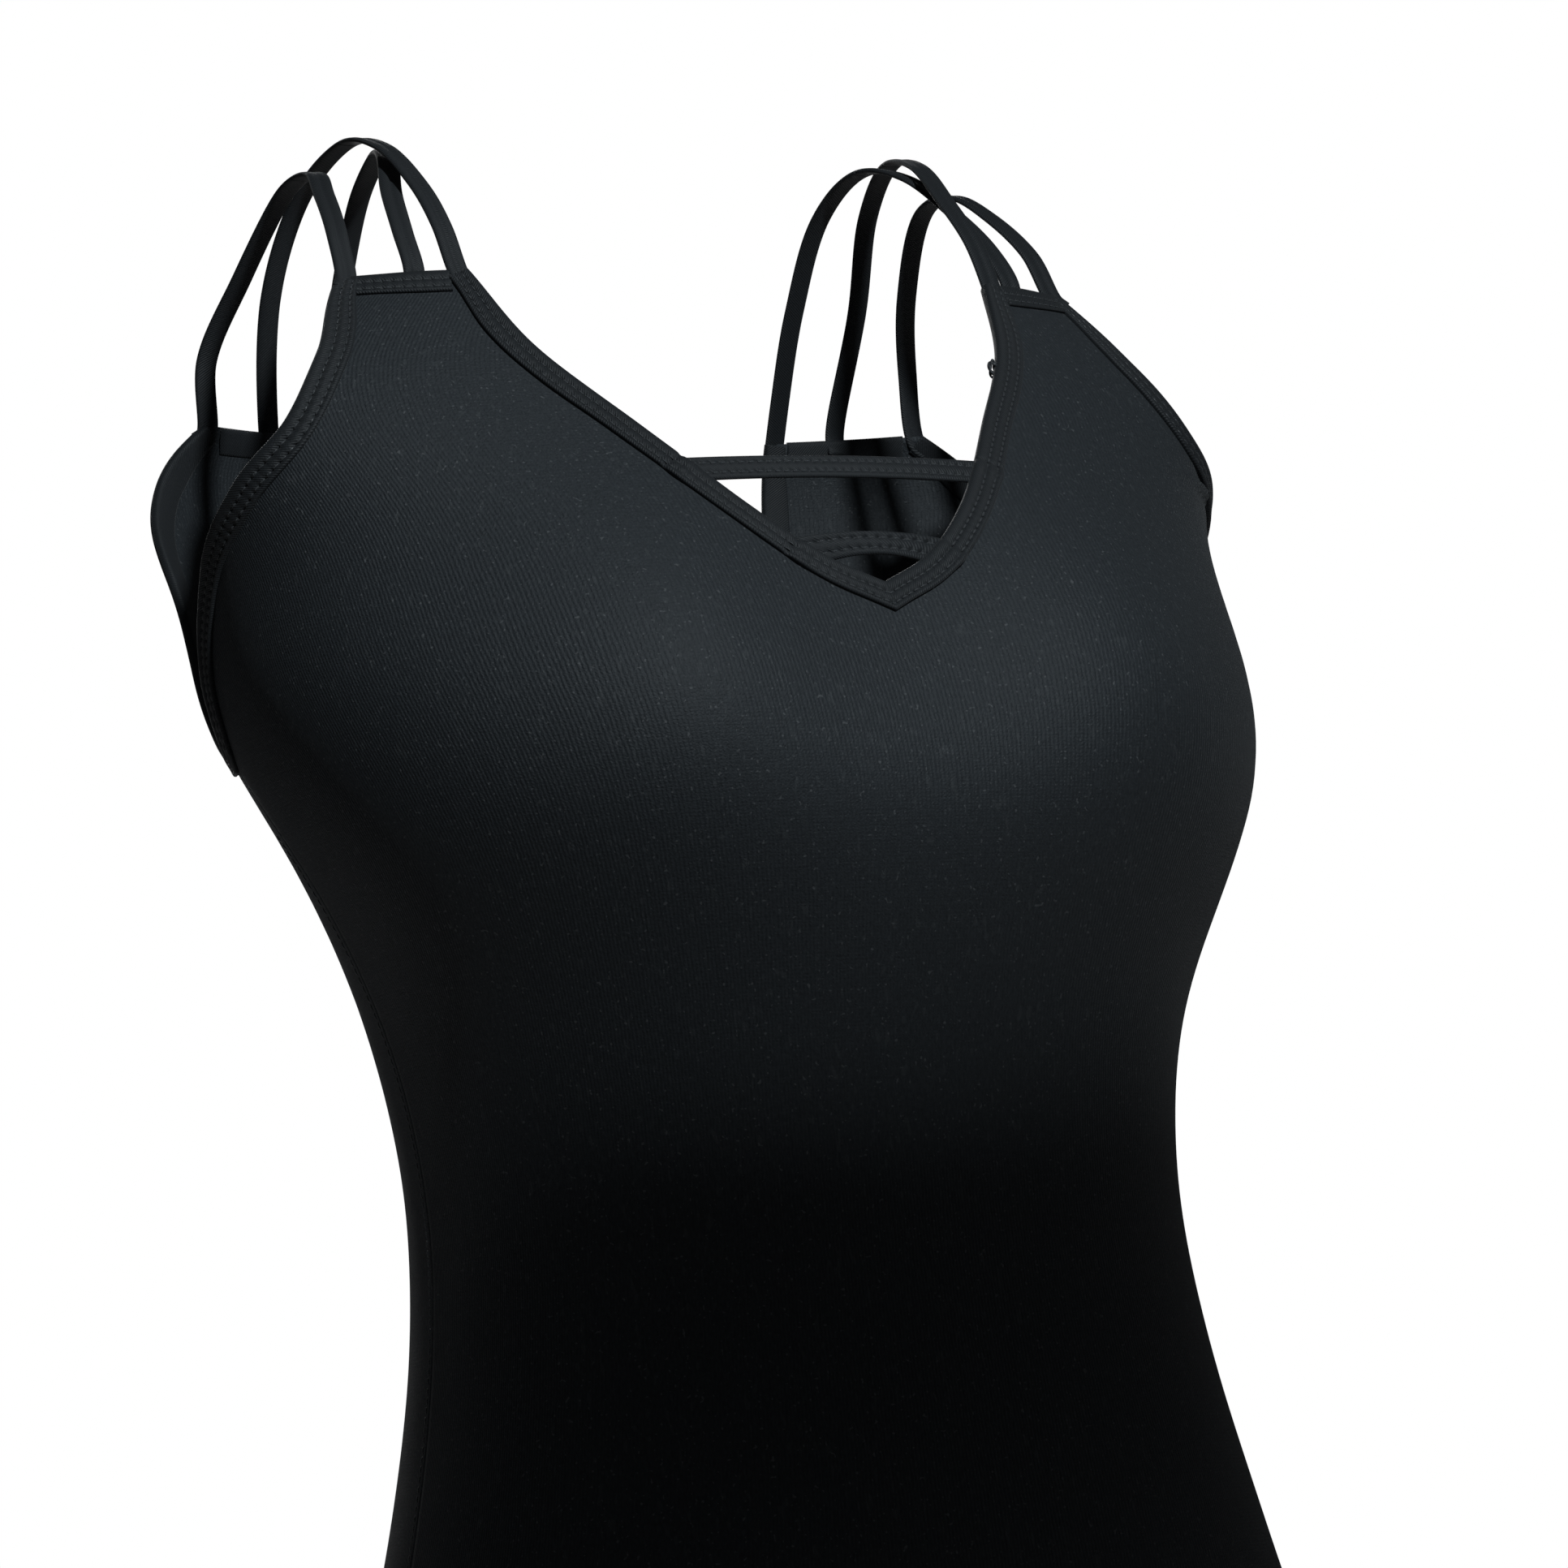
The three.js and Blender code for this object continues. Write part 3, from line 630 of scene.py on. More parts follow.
def fold_profile(width, under):
    """A folded tape's cross-section: distance in from the edge, and height off the form."""
    w = width
    low, high = [row * w for row in STITCH_ROWS]
    top = [
        (w, 0.35), (w + 0.12, 0.70), (w - 0.02, 1.10), (w - 0.35, 1.42), (w - 0.85, 1.52),
        (high + 0.55, 1.42), (high + 0.25, 1.24), (high, 1.18), (high - 0.25, 1.24),
        (high - 0.6, 1.50), ((low + high) / 2, 1.60),
        (low + 0.6, 1.50), (low + 0.25, 1.24), (low, 1.18), (low - 0.25, 1.26),
        (low - 0.7, 1.62), (0.5 * low, 1.78), (0.25 * low, 1.72),
        (0.25, 1.48), (-0.15, 1.10), (-0.42, 0.62), (-0.5, 0.1),
    ]
    back = [(-0.42, -0.6), (-0.2, -1.2), (0.3, -under + 0.25), (1.2, -under), (0.5 * w, -under),
            (w - 0.9, -under), (w - 0.3, -under + 0.25), (w - 0.1, -0.9)]
    return np.array(top + back)


def end_taper(s, ends, narrow=0.76, reach=24.0):
    """How much of its width a tape keeps, where it narrows to a strap at the ends named."""
    keep = np.ones_like(s)
    for end, distance in (("start", s), ("finish", s[-1] - s)):
        if end in ends:
            share = np.clip(distance / reach, 0, 1)
            keep = keep * (narrow + (1 - narrow) * share * share * (3 - 2 * share))
    return keep


def tape_along(path, side, width=TAPE_WIDTH, under=1.7, closed=False, seed=1, steps=(), narrows=(),
               height=1.0):
    """A folded tape along an edge path, with its two sewn channels and small puckers.

    side says on which side of the path the cloth lies, under how far the tape reaches inside it,
    steps where it humps, and narrows at which ends it tapers to a strap's width.
    """
    inward = inwards_of(path, side, closed)
    s = lengths_along(form(path))
    profile = fold_profile(width, under)
    keep = end_taper(s, narrows)[:, None]
    a = profile[None, :, 0] * keep
    h = np.repeat(profile[None, :, 1], len(path), 0) * height
    rng = np.random.default_rng(seed)
    waves = sum(
        rng.uniform(0.3, 1) * np.sin(s / length + rng.uniform(0, 6.28)) for length in (4, 9, 17)
    )
    lip = np.clip((a - 0.6 * width) / (0.4 * width), 0, 1)
    a = a + lip * LIP_WAVER * waves[:, None]
    needle = (0.5 + 0.5 * np.cos(2 * math.pi * s / STITCH_PITCH)[:, None]) ** 2
    for row in STITCH_ROWS:
        near = np.exp(-(((a / keep - row * width) / CHANNEL_HALF) ** 2)) * (h > 0)
        h = h - NEEDLE_DENT * near * needle
    h = h + TOP_WAVER * (h > 0) * waves[:, None]
    # where a chest strap's end is sewn in under the tape, it humps, with a dent beside the hump
    for place in steps:
        h = h + HUMP * (h > 0) * np.exp(-(((s - place) / 3.0) ** 2))[:, None]
        h = h - HUMP_DENT * (h > 0) * np.exp(-(((s - place - 4.2) / 0.9) ** 2))[:, None]
        a = a + 0.45 * lip * np.exp(-(((s - place) / 3.5) ** 2))[:, None]
    places = path[:, None] + inward[:, None] * a[..., None]
    points = lifted(places, h)
    count, ring = a.shape
    uvs = np.stack([np.repeat(s[:, None], ring, 1) * MM, a * MM], -1).reshape(-1, 2)
    faces = grid_faces(count, ring, wrap_columns=True, wrap_rows=closed)
    if not closed:
        faces += end_caps(count, ring)
    return points.reshape(-1, 3), faces, uvs


def stitches_along(path, side, width=TAPE_WIDTH, rows=STITCH_ROWS, narrows=(), level=1.26):
    """Sewn stitches as small threads lying in a tape's channels."""
    inward = inwards_of(path, side)
    solid = form(path)
    s = lengths_along(solid)
    centres = np.arange(STITCH_PITCH / 2, s[-1] - STITCH_PITCH / 2, STITCH_PITCH)
    at = columns_at(centres, s, path)
    step = columns_at(centres, s, inward)
    step = step * np.interp(centres, s, end_taper(s, narrows))[:, None]
    tangents = unit(columns_at(centres, s, np.gradient(solid, axis=0)))
    middles, forwards, ups = [], [], []
    for row in rows:
        places = at + step * row * width
        middles.append(lifted(places, np.full(len(places), level)))
        forwards.append(tangents)
        ups.append(normals(places))
    length = THREAD_LENGTH * STITCH_PITCH
    return threads(np.vstack(middles), np.vstack(forwards), np.vstack(ups), length, THREAD_RADIUS)


def threads(middle, forward, up, length, radius):
    """Many short rounded threads: each a small capsule, flattened against the cloth."""
    ring = 6
    stations = ((-0.5, 0.0), (-0.42, 0.7), (-0.15, 1.0), (0.15, 1.0), (0.42, 0.7), (0.5, 0.0))
    aside = unit(np.cross(forward, up))
    angle = np.arange(ring) * 2 * math.pi / ring
    points = []
    for share, wide in stations:
        count = 1 if wide == 0 else ring
        for k in range(count):
            sink = -radius * 0.9 * (2 * share) ** 2
            lift = sink + math.sin(angle[k]) * wide * radius * 0.8
            offset = forward * share * length + up * lift
            points.append(middle + offset + aside * math.cos(angle[k]) * wide * radius)
    points = np.stack(points, 1)
    per = points.shape[1]
    faces = []
    for k in range(ring):
        n = (k + 1) % ring
        faces.append((0, 1 + n, 1 + k))
        for band in range(3):
            a, b = 1 + band * ring, 1 + (band + 1) * ring
            faces.append((a + k, a + n, b + n, b + k))
        faces.append((1 + 3 * ring + k, 1 + 3 * ring + n, per - 1))
    all_faces = [tuple(v + i * per for v in f) for i in range(len(middle)) for f in faces]
    uvs = (points[..., [0, 2]] * MM).reshape(-1, 2)
    return points.reshape(-1, 3), all_faces, uvs


def both_sides(name, made, material, slot, node=None):
    """Makes NAME_left from the points given and NAME_right as its mirror image."""
    points, faces, uvs = made
    for hand in ("left", "right"):
        here = points if hand == "left" else mirror_x(points)
        item = make_object(f"{name}_{hand}", here, faces, uvs, material)
        weld(item)
        nodes = [f"{node}_{hand}"] if node else []
        finish_piece(item, slot, *nodes)


def spaced_path(line):
    return spaced(line, pitch=TAPE_STEP, measure=form)


arm_line = np.vstack([EDGES["front_arm"][::-1], EDGES["back_arm"][1:]])
back_neck_half = EDGES["back_neck"]
back_neck_line = np.vstack([back_neck_half[::-1], (back_neck_half * [-1, 1] + [2 * math.pi, 0])[1:]])

BOTH = ("start", "finish")
arm_path = spaced_path(arm_line)
both_sides("armhole_tape", tape_along(arm_path, -1, seed=3, narrows=BOTH), TAPE, "tape",
           "armhole_binding")
both_sides("armhole_stitches", stitches_along(arm_path, -1, narrows=BOTH), THREAD, "tape")

# Round the leg, the front and back halves meet at the crotch across the form's lowest line.
front_leg_path, back_leg_path = [spaced_path(EDGES[name]) for name in ("front_leg", "back_leg")]
leg_path = np.vstack([front_leg_path, back_leg_path[::-1][1:]])
both_sides("leg_tape", tape_along(leg_path, 1, closed=True, seed=5), TAPE, "tape", "leg_binding")
both_sides("leg_stitches_front", stitches_along(front_leg_path, 1), THREAD, "tape")
both_sides("leg_stitches_back", stitches_along(back_leg_path, -1), THREAD, "tape")

back_neck_path = spaced_path(back_neck_line)
points, faces, uvs = tape_along(back_neck_path, -1, seed=7, narrows=BOTH)
item = make_object("back_neckline_tape", points, faces, uvs, TAPE)
weld(item)
finish_piece(item, "tape", "back_neckline_binding")
item = make_object("back_neckline_stitches", *stitches_along(back_neck_path, -1, narrows=BOTH), THREAD)
finish_piece(item, "tape")

# The neckline tape runs a little past the middle and is cut there, which mitres the V.
neck_line = EDGES["front_neck"]
lead = neck_line[0] + (neck_line[0] - neck_line[6]) * np.linspace(2.6, 0.15, 16)[:, None]
neck_path = spaced_path(np.vstack([lead, neck_line]))
neck_solid = form(neck_path)
neck_run = lengths_along(neck_solid)
SEWN_AT = [float(np.interp(height, neck_solid[:, 2], neck_run)) for height in (190, 218)]


def cut_at_middle(item):
    """Cuts off what lies across the middle plane and closes the cut."""
    bm = bmesh.new()
    bm.from_mesh(item.data)
    geometry = bm.verts[:] + bm.edges[:] + bm.faces[:]
    cut = bmesh.ops.bisect_plane(
        bm, geom=geometry, plane_co=(1e-5, 0, 0), plane_no=(1, 0, 0), clear_inner=True
    )
    rim = [e for e in cut["geom_cut"] if isinstance(e, bmesh.types.BMEdge)]
    bmesh.ops.holes_fill(bm, edges=rim)
    bmesh.ops.recalc_face_normals(bm, faces=bm.faces)
    bm.to_mesh(item.data)
    bm.free()


points, faces, uvs = tape_along(neck_path, -1, under=2.4, seed=11, steps=SEWN_AT, narrows=("finish",))
s_points, s_faces, s_uvs = stitches_along(neck_path, -1, narrows=("finish",))
for hand in ("left", "right"):
    flip = (lambda p: p) if hand == "left" else mirror_x
    tape = make_object(f"neckline_tape_{hand}", points, faces, uvs, TAPE)
    weld(tape)
    cut_at_middle(tape)
    sewn = make_object(f"neckline_stitches_{hand}", s_points, s_faces, s_uvs, THREAD)
    cut_at_middle(sewn)
    for item in (tape, sewn):
        if hand == "right":
            for vertex in item.data.vertices:
                vertex.co.x = -vertex.co.x
            item.data.flip_normals()
    finish_piece(tape, "tape", f"neckline_binding_{hand}")
    finish_piece(sewn, "tape")


# ---- Tabs: a short tape across the top of each, under the two long tapes ----
def tab_line(neck, arm, margin):
    """A straight line across the top of a tab, a margin (share) short of both edges."""
    a, b = EDGES[neck][-1], EDGES[arm][-1]
    t = np.linspace(0, 1, 60)[:, None]
    return a + (b - a) * (margin + (1 - 2 * margin) * t)


TAB_WIDTH = 8.5
for name, neck, arm, side in (
    ("front_tab", "front_neck", "front_arm", -1), ("back_tab", "back_neck", "back_arm", 1)
):
    path = spaced_path(tab_line(neck, arm, 0.13))
    tape = tape_along(path, side, width=TAB_WIDTH, seed=13, height=0.86)
    both_sides(f"{name}_tape", tape, TAPE, "tape", f"{name}_binding")
    sewn = stitches_along(path, side, width=TAB_WIDTH, level=1.08)
    both_sides(f"{name}_stitches", sewn, THREAD, "tape")


# ---- Straps ----
SHOULDER_AXIS = np.array([0, 45, 262])
STRAP_WIDTH, STRAP_THICK = 7.0, 1.6


def strap_profile(width, thick):
    """A tube strap's section: two soft ridges with a seam between them, and a flat underside."""
    w, t = width / 2, thick / 2
    top = [(-w, 0), (-w + 0.15, 0.55 * t), (-w + 0.6, 0.95 * t), (-w * 0.55, 1.08 * t),
           (-w * 0.2, 0.98 * t), (0, 0.45 * t), (w * 0.2, 0.98 * t), (w * 0.55, 1.08 * t),
           (w - 0.6, 0.95 * t), (w - 0.15, 0.55 * t), (w, 0)]
    under = [(w - 0.15, -0.55 * t), (w - 0.6, -0.9 * t), (w * 0.4, -t), (-w * 0.4, -t),
             (-w + 0.6, -0.9 * t), (-w + 0.15, -0.55 * t)]
    return np.array(top + under)


def strap_frames(line):
    """For each point, the way the strap's face looks, out from the shoulder, and the way across it."""
    forward = unit(np.gradient(line, axis=0))
    away = (line - SHOULDER_AXIS) * [0, 1, 1]
    face = unit(away - (away * forward).sum(-1, keepdims=True) * forward)
    return face, np.cross(face, forward)


def sweep(line, profile, wobble=0.0, seed=0):
    """Sections of a profile along a line, and their UVs. wobble varies its width and thickness."""
    face, sideways = strap_frames(line)
    s = lengths_along(line)
    rng = np.random.default_rng(seed)
    wave = wobble * sum(np.sin(s / k + rng.uniform(0, 6.28)) for k in (5.0, 11.0))
    across = profile[None, :, 0] + wave[:, None] * 0.5
    height = profile[None, :, 1] * (1 + 0.25 * wave[:, None])
    points = line[:, None] + sideways[:, None] * across[..., None] + face[:, None] * height[..., None]
    uvs = np.stack([np.repeat(s[:, None], len(profile), 1) * MM, across * MM], -1)
    return points, uvs


def closed_tube(points, uvs):
    """Points, faces and UVs of a tube of sections with both ends closed."""
    count, ring = points.shape[:2]
    faces = grid_faces(count, ring, wrap_columns=True) + end_caps(count, ring)
    return points.reshape(-1, 3), faces, uvs.reshape(-1, 2)


# The middle lines of the left straps over the shoulder, from front to back.
ROUTES = {
    "outer_strap": [[123, 3, 304], [119, 18, 320], [115, 32, 330], [115, 52, 330],
                    [121, 78, 308], [128, 94, 285]],
    "middle_strap": [[104, -3, 304], [100, 10, 319], [93, 25, 334], [87, 42, 340],
                     [84, 66, 331], [83, 88, 304]],
    "inner_strap": [[94, -10, 304], [94, 4, 321], [96, 22, 337], [98, 42, 343],
                    [103, 68, 332], [107, 88, 304]],
}
STRAP_STEP = 1.2
joints = {j["name"]: j for j in frame["joints"]}


def tape_end(path, finish, inside):
    """The middle of a tape, a distance inside its start or finish, in the middle of its fold."""
    inward = inwards_of(path, -1)
    index = int(round(inside / TAPE_STEP))
    index = -1 - index if finish else index
    return lifted((path[index] + inward[index] * 0.34 * TAPE_WIDTH)[None], [0.1])[0]


# Which tape each end of a strap comes out of. The other ends are sewn behind a tab.
STRAP_TAPES = {
    ("outer_strap", "front"): (arm_path, False),
    ("outer_strap", "back"): (arm_path, True),
    ("inner_strap", "front"): (neck_path, True),
    ("middle_strap", "back"): (back_neck_path, False),
}


def strap_end(name, end, root):
    """Two points that carry a strap on past its root: out at the edge, then hidden."""
    if (name, end) in STRAP_TAPES:
        path, finish = STRAP_TAPES[name, end]
        return [tape_end(path, finish, 0.5), tape_end(path, finish, 5.0)]
    behind = np.array([0, 2.2 if end == "front" else -2.2, 0])
    return [root + behind * 0.5 - [0, 0, 2.0], root + behind - [0, 0, 8.5]]


def strap(name):
    """The left strap's middle line, and its front and back roots."""
    joint = joints[f"{name}_left_swing"]
    front = np.array(joint["pos_m"]) / MM
    back = front + np.array(joint["axis"]) * back_distance(name)
    near, hidden = strap_end(name, "front", front)
    far, tucked = strap_end(name, "back", back)
    line = [hidden, near, *ROUTES[name], far, tucked]
    return spaced(smooth_curve(line), pitch=STRAP_STEP), front, back


def back_distance(name):
    """How far the strap's back end is from its front end: both lie on the joint's axis."""
    mesh = frame["nodes"][f"{name}_left"].data
    joint = joints[f"{name}_left_swing"]
    front, axis = np.array(joint["pos_m"]), np.array(joint["axis"])
    reach = max((np.array(v.co) - front) @ axis for v in mesh.vertices) / MM
    return reach - STRAP_THICK / 2


for name in ROUTES:
    line, front, back = strap(name)
    crest = int(np.argmax(line[:, 2]))
    sections, uvs = sweep(line, strap_profile(STRAP_WIDTH, STRAP_THICK), 0.05, len(name))
    halves = {"front": (slice(0, crest + 1), front), "back": (slice(crest, None), back)}
    for hand, flip in (("left", [1, 1, 1]), ("right", [-1, 1, 1])):
        for end, (part, root) in halves.items():
            made = closed_tube(sections[part] * flip, uvs[part])
            item = make_object(f"{name}_{hand}_{end}", *made, TAPE)
            weld(item)
            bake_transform(item)
            if end == "front":
                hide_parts(f"{name}_{hand}")


# ---- Straps across the neckline ----
CHEST_STRAPS = {"chest_strap_upper": (213, 1), "chest_strap_lower": (185.5, 2)}
CHEST_WIDTH = 8.0
CHEST_ROWS = (0.28, 0.72)  # shares of the strap's width
CHEST_POINTS, CHEST_FINE = 90, 260
CHEST_TUCK = 5.0


def chest_profile():
    """Pairs of a share of the strap's width and a height in millimetres, round the section."""
    channel = [(0.17, 0.74), (0.24, 0.55), (0.28, 0.42), (0.32, 0.55), (0.39, 0.76)]
    edge = [(0.0, 0.0), (0.02, 0.45), (0.09, 0.70)]
    half = edge + channel
    front = half + [(0.5, 0.80)] + [(1 - share, height) for share, height in reversed(half)]
    back = [(0.97, -0.5), (0.88, -0.7), (0.5, -0.72), (0.12, -0.7), (0.03, -0.5)]
    return np.array(front + back)


def neck_place(height):
    line = EDGES["front_neck"]
    return np.array([np.interp(height, line[:, 1], line[:, 0]), height])


def chest_line(height, arch):
    """A line across the neckline from tape to tape, bowed forwards by 1 mm and up by arch."""
    end = lifted(neck_place(height)[None], [0.0])[0]
    t = np.linspace(-1, 1, CHEST_POINTS)[:, None]
    middle = 1 - t**2
    return np.hstack([t * end[0], end[1] - middle, end[2] + arch * middle])


def run_on(line, t):
    """The line at t, where -1 and 1 are its ends and beyond them it goes behind the tape."""
    longer = columns_at(t, np.linspace(-1, 1, len(line)), line)
    beyond = np.maximum(np.abs(t) - 1, 0) * abs(line[0, 0])
    longer[:, 0] += np.sign(t) * beyond
    longer[:, 1] += beyond * 0.55
    return longer


def chest_strap(name, height, arch):
    rise = CHEST_WIDTH * 0.95
    low, high = chest_line(height, arch), chest_line(height + rise, arch)
    reach = CHEST_TUCK / abs(low[0, 0])
    t = np.linspace(-1 - reach, 1 + reach, CHEST_FINE)
    low, high = run_on(low, t), run_on(high, t)
    up = unit(high - low)
    forward = unit(np.gradient((low + high) / 2, axis=0))
    out = unit(np.cross(forward, up))
    out = out * np.sign(-out[:, 1:2])
    profile = chest_profile()
    s = lengths_along(low)
    needle = (0.5 + 0.5 * np.cos(2 * math.pi * s / STITCH_PITCH)[:, None]) ** 2
    rises = np.repeat(profile[None, :, 1], len(s), 0)
    for row in CHEST_ROWS:
        near = np.exp(-(((profile[None, :, 0] - row) / 0.07) ** 2)) * (rises > 0)
        rises = rises - 0.60 * near * needle
    across = (high - low)[:, None] * profile[None, :, 0:1]
    points = low[:, None] + across + out[:, None] * rises[..., None]
    widths = np.repeat(profile[None, :, 0], len(s), 0) * CHEST_WIDTH
    uvs = np.stack([np.repeat(s[:, None], len(profile), 1) * MM, widths * MM], -1)
    item = make_object(name + "_tape", *closed_tube(points, uvs), TAPE)
    weld(item)
    finish_piece(item, "tape", name)
    centres = np.arange(STITCH_PITCH / 2, s[-1] - STITCH_PITCH, STITCH_PITCH)
    ahead, face = columns_at(centres, s, forward), columns_at(centres, s, out)
    middles = [
        columns_at(centres, s, low + (high - low) * row) + face * 0.42 for row in CHEST_ROWS
    ]
    both_ahead, both_faces = np.vstack([unit(ahead)] * 2), np.vstack([unit(face)] * 2)
    made = threads(np.vstack(middles), both_ahead, both_faces, STITCH_PITCH * 0.78, 0.25)
    finish_piece(make_object(name + "_stitches", *made, THREAD), "tape")


for name, (height, arch) in CHEST_STRAPS.items():
    chest_strap(name, height, arch)


# ---- A nub of loose thread on the neckline's edge ----
NUB_HEIGHT = 256


def thread_nub():
    middle = form(neck_place(NUB_HEIGHT)[None])[0] + [-1.0, 0.3, 0]
    t = np.linspace(0, 6.5 * math.pi, 120)
    wander = 1 + 0.3 * np.sin(2.3 * t)
    loops = np.stack([np.sin(t) * wander, 0.6 * np.sin(1.7 * t + 1), np.cos(t) * 2.1 * wander], -1)
    angle = np.linspace(0, 2 * math.pi, 6, endpoint=False)
    ring = np.stack([np.cos(angle), np.sin(angle)], -1) * 0.42
    made = closed_tube(*sweep(middle + loops, ring))
    finish_piece(make_object("neckline_thread_nub", *made, THREAD), "tape")


thread_nub()

# ---- Inside: linings, elastics and seams ----
def layer(name, places, height, material, slot, node, mirrored=False):
    """A layer of cloth over a grid of places, at a height off the form."""
    points = lifted(places, np.full(places.shape[:2], height))
    uv = cloth_uv(places).reshape(-1, 2)
    rows, columns = places.shape[:2]
    faces = grid_faces(rows, columns)
    points = points.reshape(-1, 3)
    if mirrored:
        points = np.vstack([points, mirror_x(points)])
        faces = faces + [tuple(rows * columns + k for k in reversed(f)) for f in faces]
        uv = np.vstack([uv, uv * [-1, 1]])
    item = make_object(name, points, faces, uv, material)
    weld(item, MERGE)
    thicken(item, LINING_CLOTH)
    return finish_piece(item, slot, node)


front_half = half_rows(False)
lining_half = front_half[LINING_ROWS, :-4]
bust_lining = layer("bust_lining_cloth", lining_half, -1.4, LINING, "lining", "bust_lining",
                    mirrored=True)
band = lining_half[:BAND_ROWS]
layer("underbust_elastic_band", band, -2.6, ELASTIC, "elastic", "underbust_elastic",
      mirrored=True)

# The gusset lining runs across the crotch from GUSSET_FRONT to GUSSET_BACK, a little off the leg tapes.
GUSSET_COUNT = 30
GUSSET_FRONT, GUSSET_BACK = -246, -258
GUSSET_MARGIN = 10


def gusset_rows(start, stop, at_back):
    """A grid of places across the gusset, from one run to another."""
    half = GUSSET_HALF - GUSSET_MARGIN
    rows = []
    for run in np.linspace(start, stop, GUSSET_COUNT):
        turns = [np.sign(x) * turn_at(abs(x), run, False) for x in np.linspace(-half, half, GUSSET_COUNT)]
        rows.append([[math.pi - turn if at_back else turn, run] for turn in turns])
    return np.array(rows)


front_gusset = gusset_rows(GUSSET_FRONT, LOWEST + 0.3, False)
back_gusset = gusset_rows(LOWEST + 0.3, GUSSET_BACK, True)
gusset = np.vstack([front_gusset, back_gusset])[::-1]
gusset_lining = layer("gusset_lining_cloth", gusset, -2.6, LINING, "lining", "gusset_lining")
crotch = np.stack([back_gusset[2], front_gusset[-3]])
layer("crotch_seam_allowance", crotch, -1.4, LINING, "lining", "crotch_seam")


def band_along(path, side, widths, height, thickness, closed=False):
    """A flat band along a path. widths are the distances in from it of the band's points."""
    inward = inwards_of(path, side, closed)
    places = path[:, None] + inward[:, None] * np.array(widths)[None, :, None]
    top = lifted(places, np.full(places.shape[:2], height))
    low = lifted(places, np.full(places.shape[:2], height - thickness))
    ring = np.concatenate([top, low[:, ::-1]], 1)
    s = lengths_along(form(path))
    count, width = ring.shape[:2]
    faces = grid_faces(count, width, wrap_columns=True, wrap_rows=closed)
    if not closed:
        faces += end_caps(count, width)
    across = np.concatenate([widths, widths[::-1]])
    uvs = np.stack(
        [np.repeat(s[:, None], width, 1) * MM, np.repeat(across[None], count, 0) * MM], -1
    )
    return ring.reshape(-1, 3), faces, uvs.reshape(-1, 2)


SEAM_TRIM = slice(28, -32)  # millimetres that the leg and armhole tapes cover
side_path = spaced(EDGES["side"], pitch=1.0, measure=form)[SEAM_TRIM]
seam_band = band_along(side_path, 1, np.linspace(-3, 3, 7), -1.3, 0.7)
both_sides("side_seam_allowance", seam_band, LINING, "lining", "side_seam")
overlock = stitches_along(side_path, 1, width=1.0, rows=(0.0,))
both_sides("side_seam_overlock", overlock, THREAD, "lining")
leg_band = band_along(leg_path, 1, np.linspace(1.0, 8.6, 8), -1.75, 0.6, closed=True)
both_sides("leg_elastic_band", leg_band, ELASTIC, "elastic", "leg_elastic")


def neck_label():
    low, high = [np.array(corner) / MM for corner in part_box("neck_label")]
    columns, rows = 25, 31
    grid_x, grid_z = np.meshgrid(
        np.linspace(low[0], high[0], columns), np.linspace(high[2], low[2], rows)
    )
    drop = (high[2] - grid_z) / (high[2] - low[2])
    curl = 0.25 * np.sin(grid_x / 6.0) * drop - 0.8 * drop**2
    y = (low[1] + high[1]) / 2 + curl
    points = np.stack([grid_x, y, grid_z], -1).reshape(-1, 3)
    uvs = np.stack([grid_x, grid_z], -1).reshape(-1, 2) * MM
    item = make_object("neck_label_satin", points, grid_faces(rows, columns), uvs, LABEL)
    thicken(item, 0.3)
    return finish_piece(item, "label", "neck_label", body="label_body")


neck_label()

# ---- Floor, light and camera ----
scene = bpy.context.scene
scene.view_settings.view_transform = "Standard"

FLOOR_DROP, FLOOR_HALF = 0.12, 3.0
floor_level = cad_bounds[0].z - FLOOR_DROP
corners = [[x * FLOOR_HALF, y * FLOOR_HALF, floor_level] for x, y in ((-1, -1), (1, -1), (1, 1), (-1, 1))]
floor = make_object("floor", np.array(corners) / MM, [(0, 1, 2, 3)])
pale = bpy.data.materials.new("pale_floor")
pale.use_nodes = True
pale.node_tree.nodes["Principled BSDF"].inputs["Base Color"].default_value = (0.86, 0.86, 0.86, 1)
pale.node_tree.nodes["Principled BSDF"].inputs["Roughness"].default_value = 0.7
floor.data.materials.append(pale)

def studio_world():
    """A white backdrop that is seen but lights nothing, and a dim cool room that only lights."""
    world = bpy.data.worlds.new("studio")
    scene.world = world
    world.use_nodes = True
    nodes, links = world.node_tree.nodes, world.node_tree.links
    backdrop = nodes["Background"]
    backdrop.inputs["Color"].default_value = (1, 1, 1, 1)
    backdrop.inputs["Strength"].default_value = 1.0
    room = nodes.new("ShaderNodeBackground")
    room.inputs["Color"].default_value = (0.9, 0.95, 1.0, 1)
    room.inputs["Strength"].default_value = 0.02
    seen = nodes.new("ShaderNodeLightPath")
    choose = nodes.new("ShaderNodeMixShader")
    links.new(seen.outputs["Is Camera Ray"], choose.inputs[0])
    links.new(room.outputs[0], choose.inputs[1])
    links.new(backdrop.outputs[0], choose.inputs[2])
    links.new(choose.outputs[0], nodes["World Output"].inputs["Surface"])


studio_world()


def aim(lamp, place, target):
    lamp.location = place
    lamp.rotation_mode = "QUATERNION"
    lamp.rotation_quaternion = (Vector(target) - Vector(place)).to_track_quat("-Z", "Y")


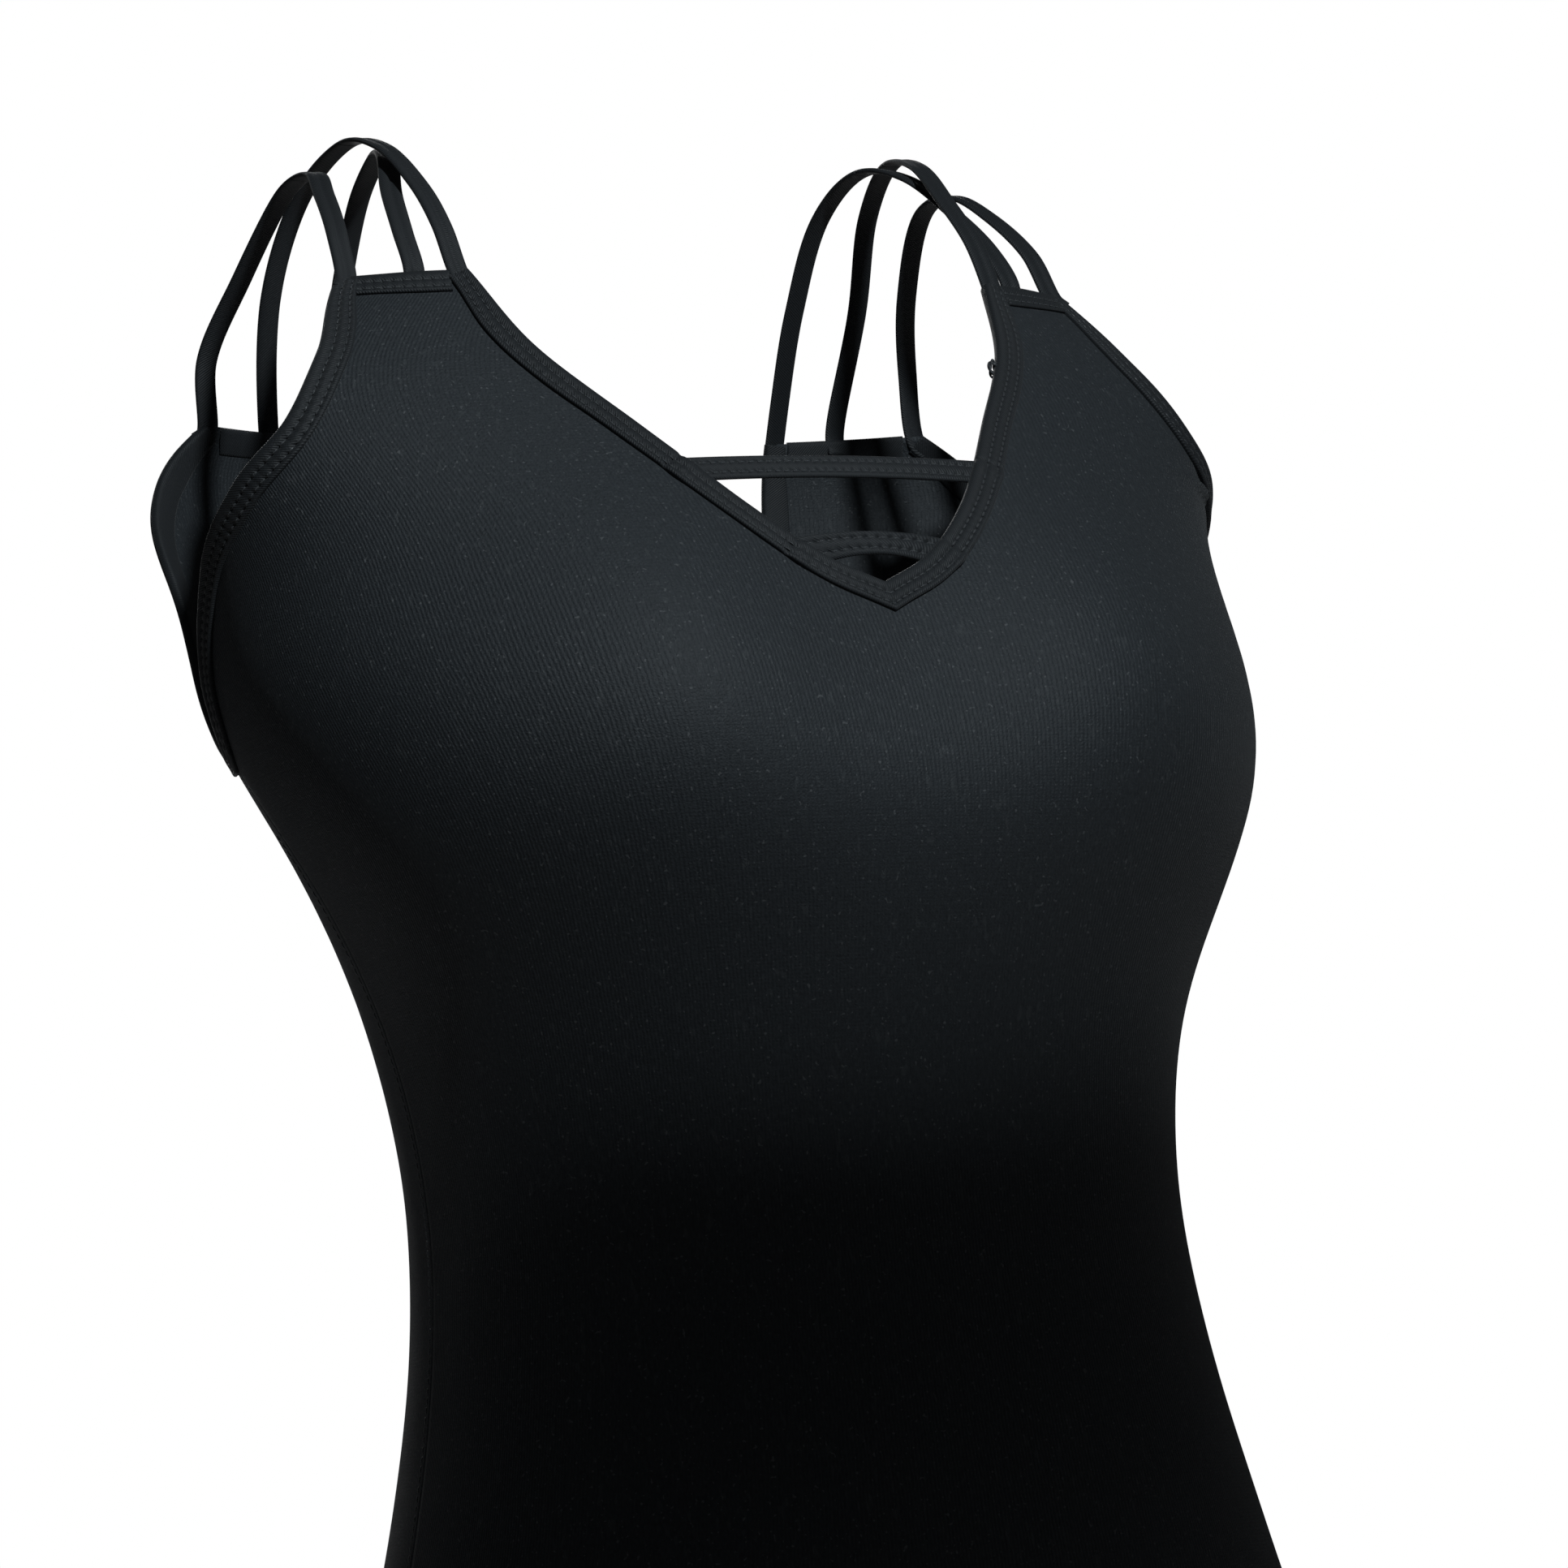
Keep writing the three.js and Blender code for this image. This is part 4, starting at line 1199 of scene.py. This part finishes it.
def softbox(name, place, target, size, power):
    data = bpy.data.lights.new(name, "AREA")
    data.shape = "RECTANGLE"
    data.size, data.size_y = size
    data.energy = power
    lamp = bpy.data.objects.new(name, data)
    lamp.visible_camera = False
    scene.collection.objects.link(lamp)
    aim(lamp, place, target)


def chest_beam():
    """The cool key light, narrow enough to leave the cloth below the bust dark."""
    beam = bpy.data.lights.new("key", "SPOT")
    beam.energy = 35
    beam.color = (0.86, 0.95, 1.0)
    beam.spot_size = math.radians(19.0)
    beam.spot_blend = 0.14
    beam.shadow_soft_size = 0.04
    lamp = bpy.data.objects.new("key", beam)
    scene.collection.objects.link(lamp)
    aim(lamp, (-0.05, -1.02, 0.85), (-0.010, -0.08, 0.273))


chest_beam()
softbox("behind", (0.45, 1.3, 0.7), (0, 0, 0.05), (0.9, 0.9), 9)
softbox("floor_wash", (0, 0, floor_level + 0.08), (0, 0, floor_level), (6, 6), 4)

def photo_camera(azimuth, elevation, roll, distance, target, lens):
    """A camera that looks at a target, in metres, from the angles given in degrees."""
    azimuth, elevation, roll = [math.radians(angle) for angle in (azimuth, elevation, roll)]
    back_axis = np.array([
        math.sin(azimuth) * math.cos(elevation),
        -math.cos(azimuth) * math.cos(elevation),
        math.sin(elevation),
    ])
    right_axis = np.array([math.cos(azimuth), math.sin(azimuth), 0])
    up_axis = np.cross(back_axis, right_axis)
    data = bpy.data.cameras.new("camera")
    data.sensor_width = 36
    data.lens = lens
    camera = bpy.data.objects.new("camera", data)
    scene.collection.objects.link(camera)
    matrix = np.eye(4)
    matrix[:3, 0] = right_axis * math.cos(roll) - up_axis * math.sin(roll)
    matrix[:3, 1] = right_axis * math.sin(roll) + up_axis * math.cos(roll)
    matrix[:3, 2] = back_axis
    matrix[:3, 3] = np.array(target) + back_axis * distance
    camera.matrix_world = Matrix(matrix.tolist())
    scene.camera = camera


photo_camera(
    azimuth=-29.7, elevation=-7.5, roll=5.4, distance=1.82, target=(0.0091, -0.0052, 0.132),
    lens=135.65,
)
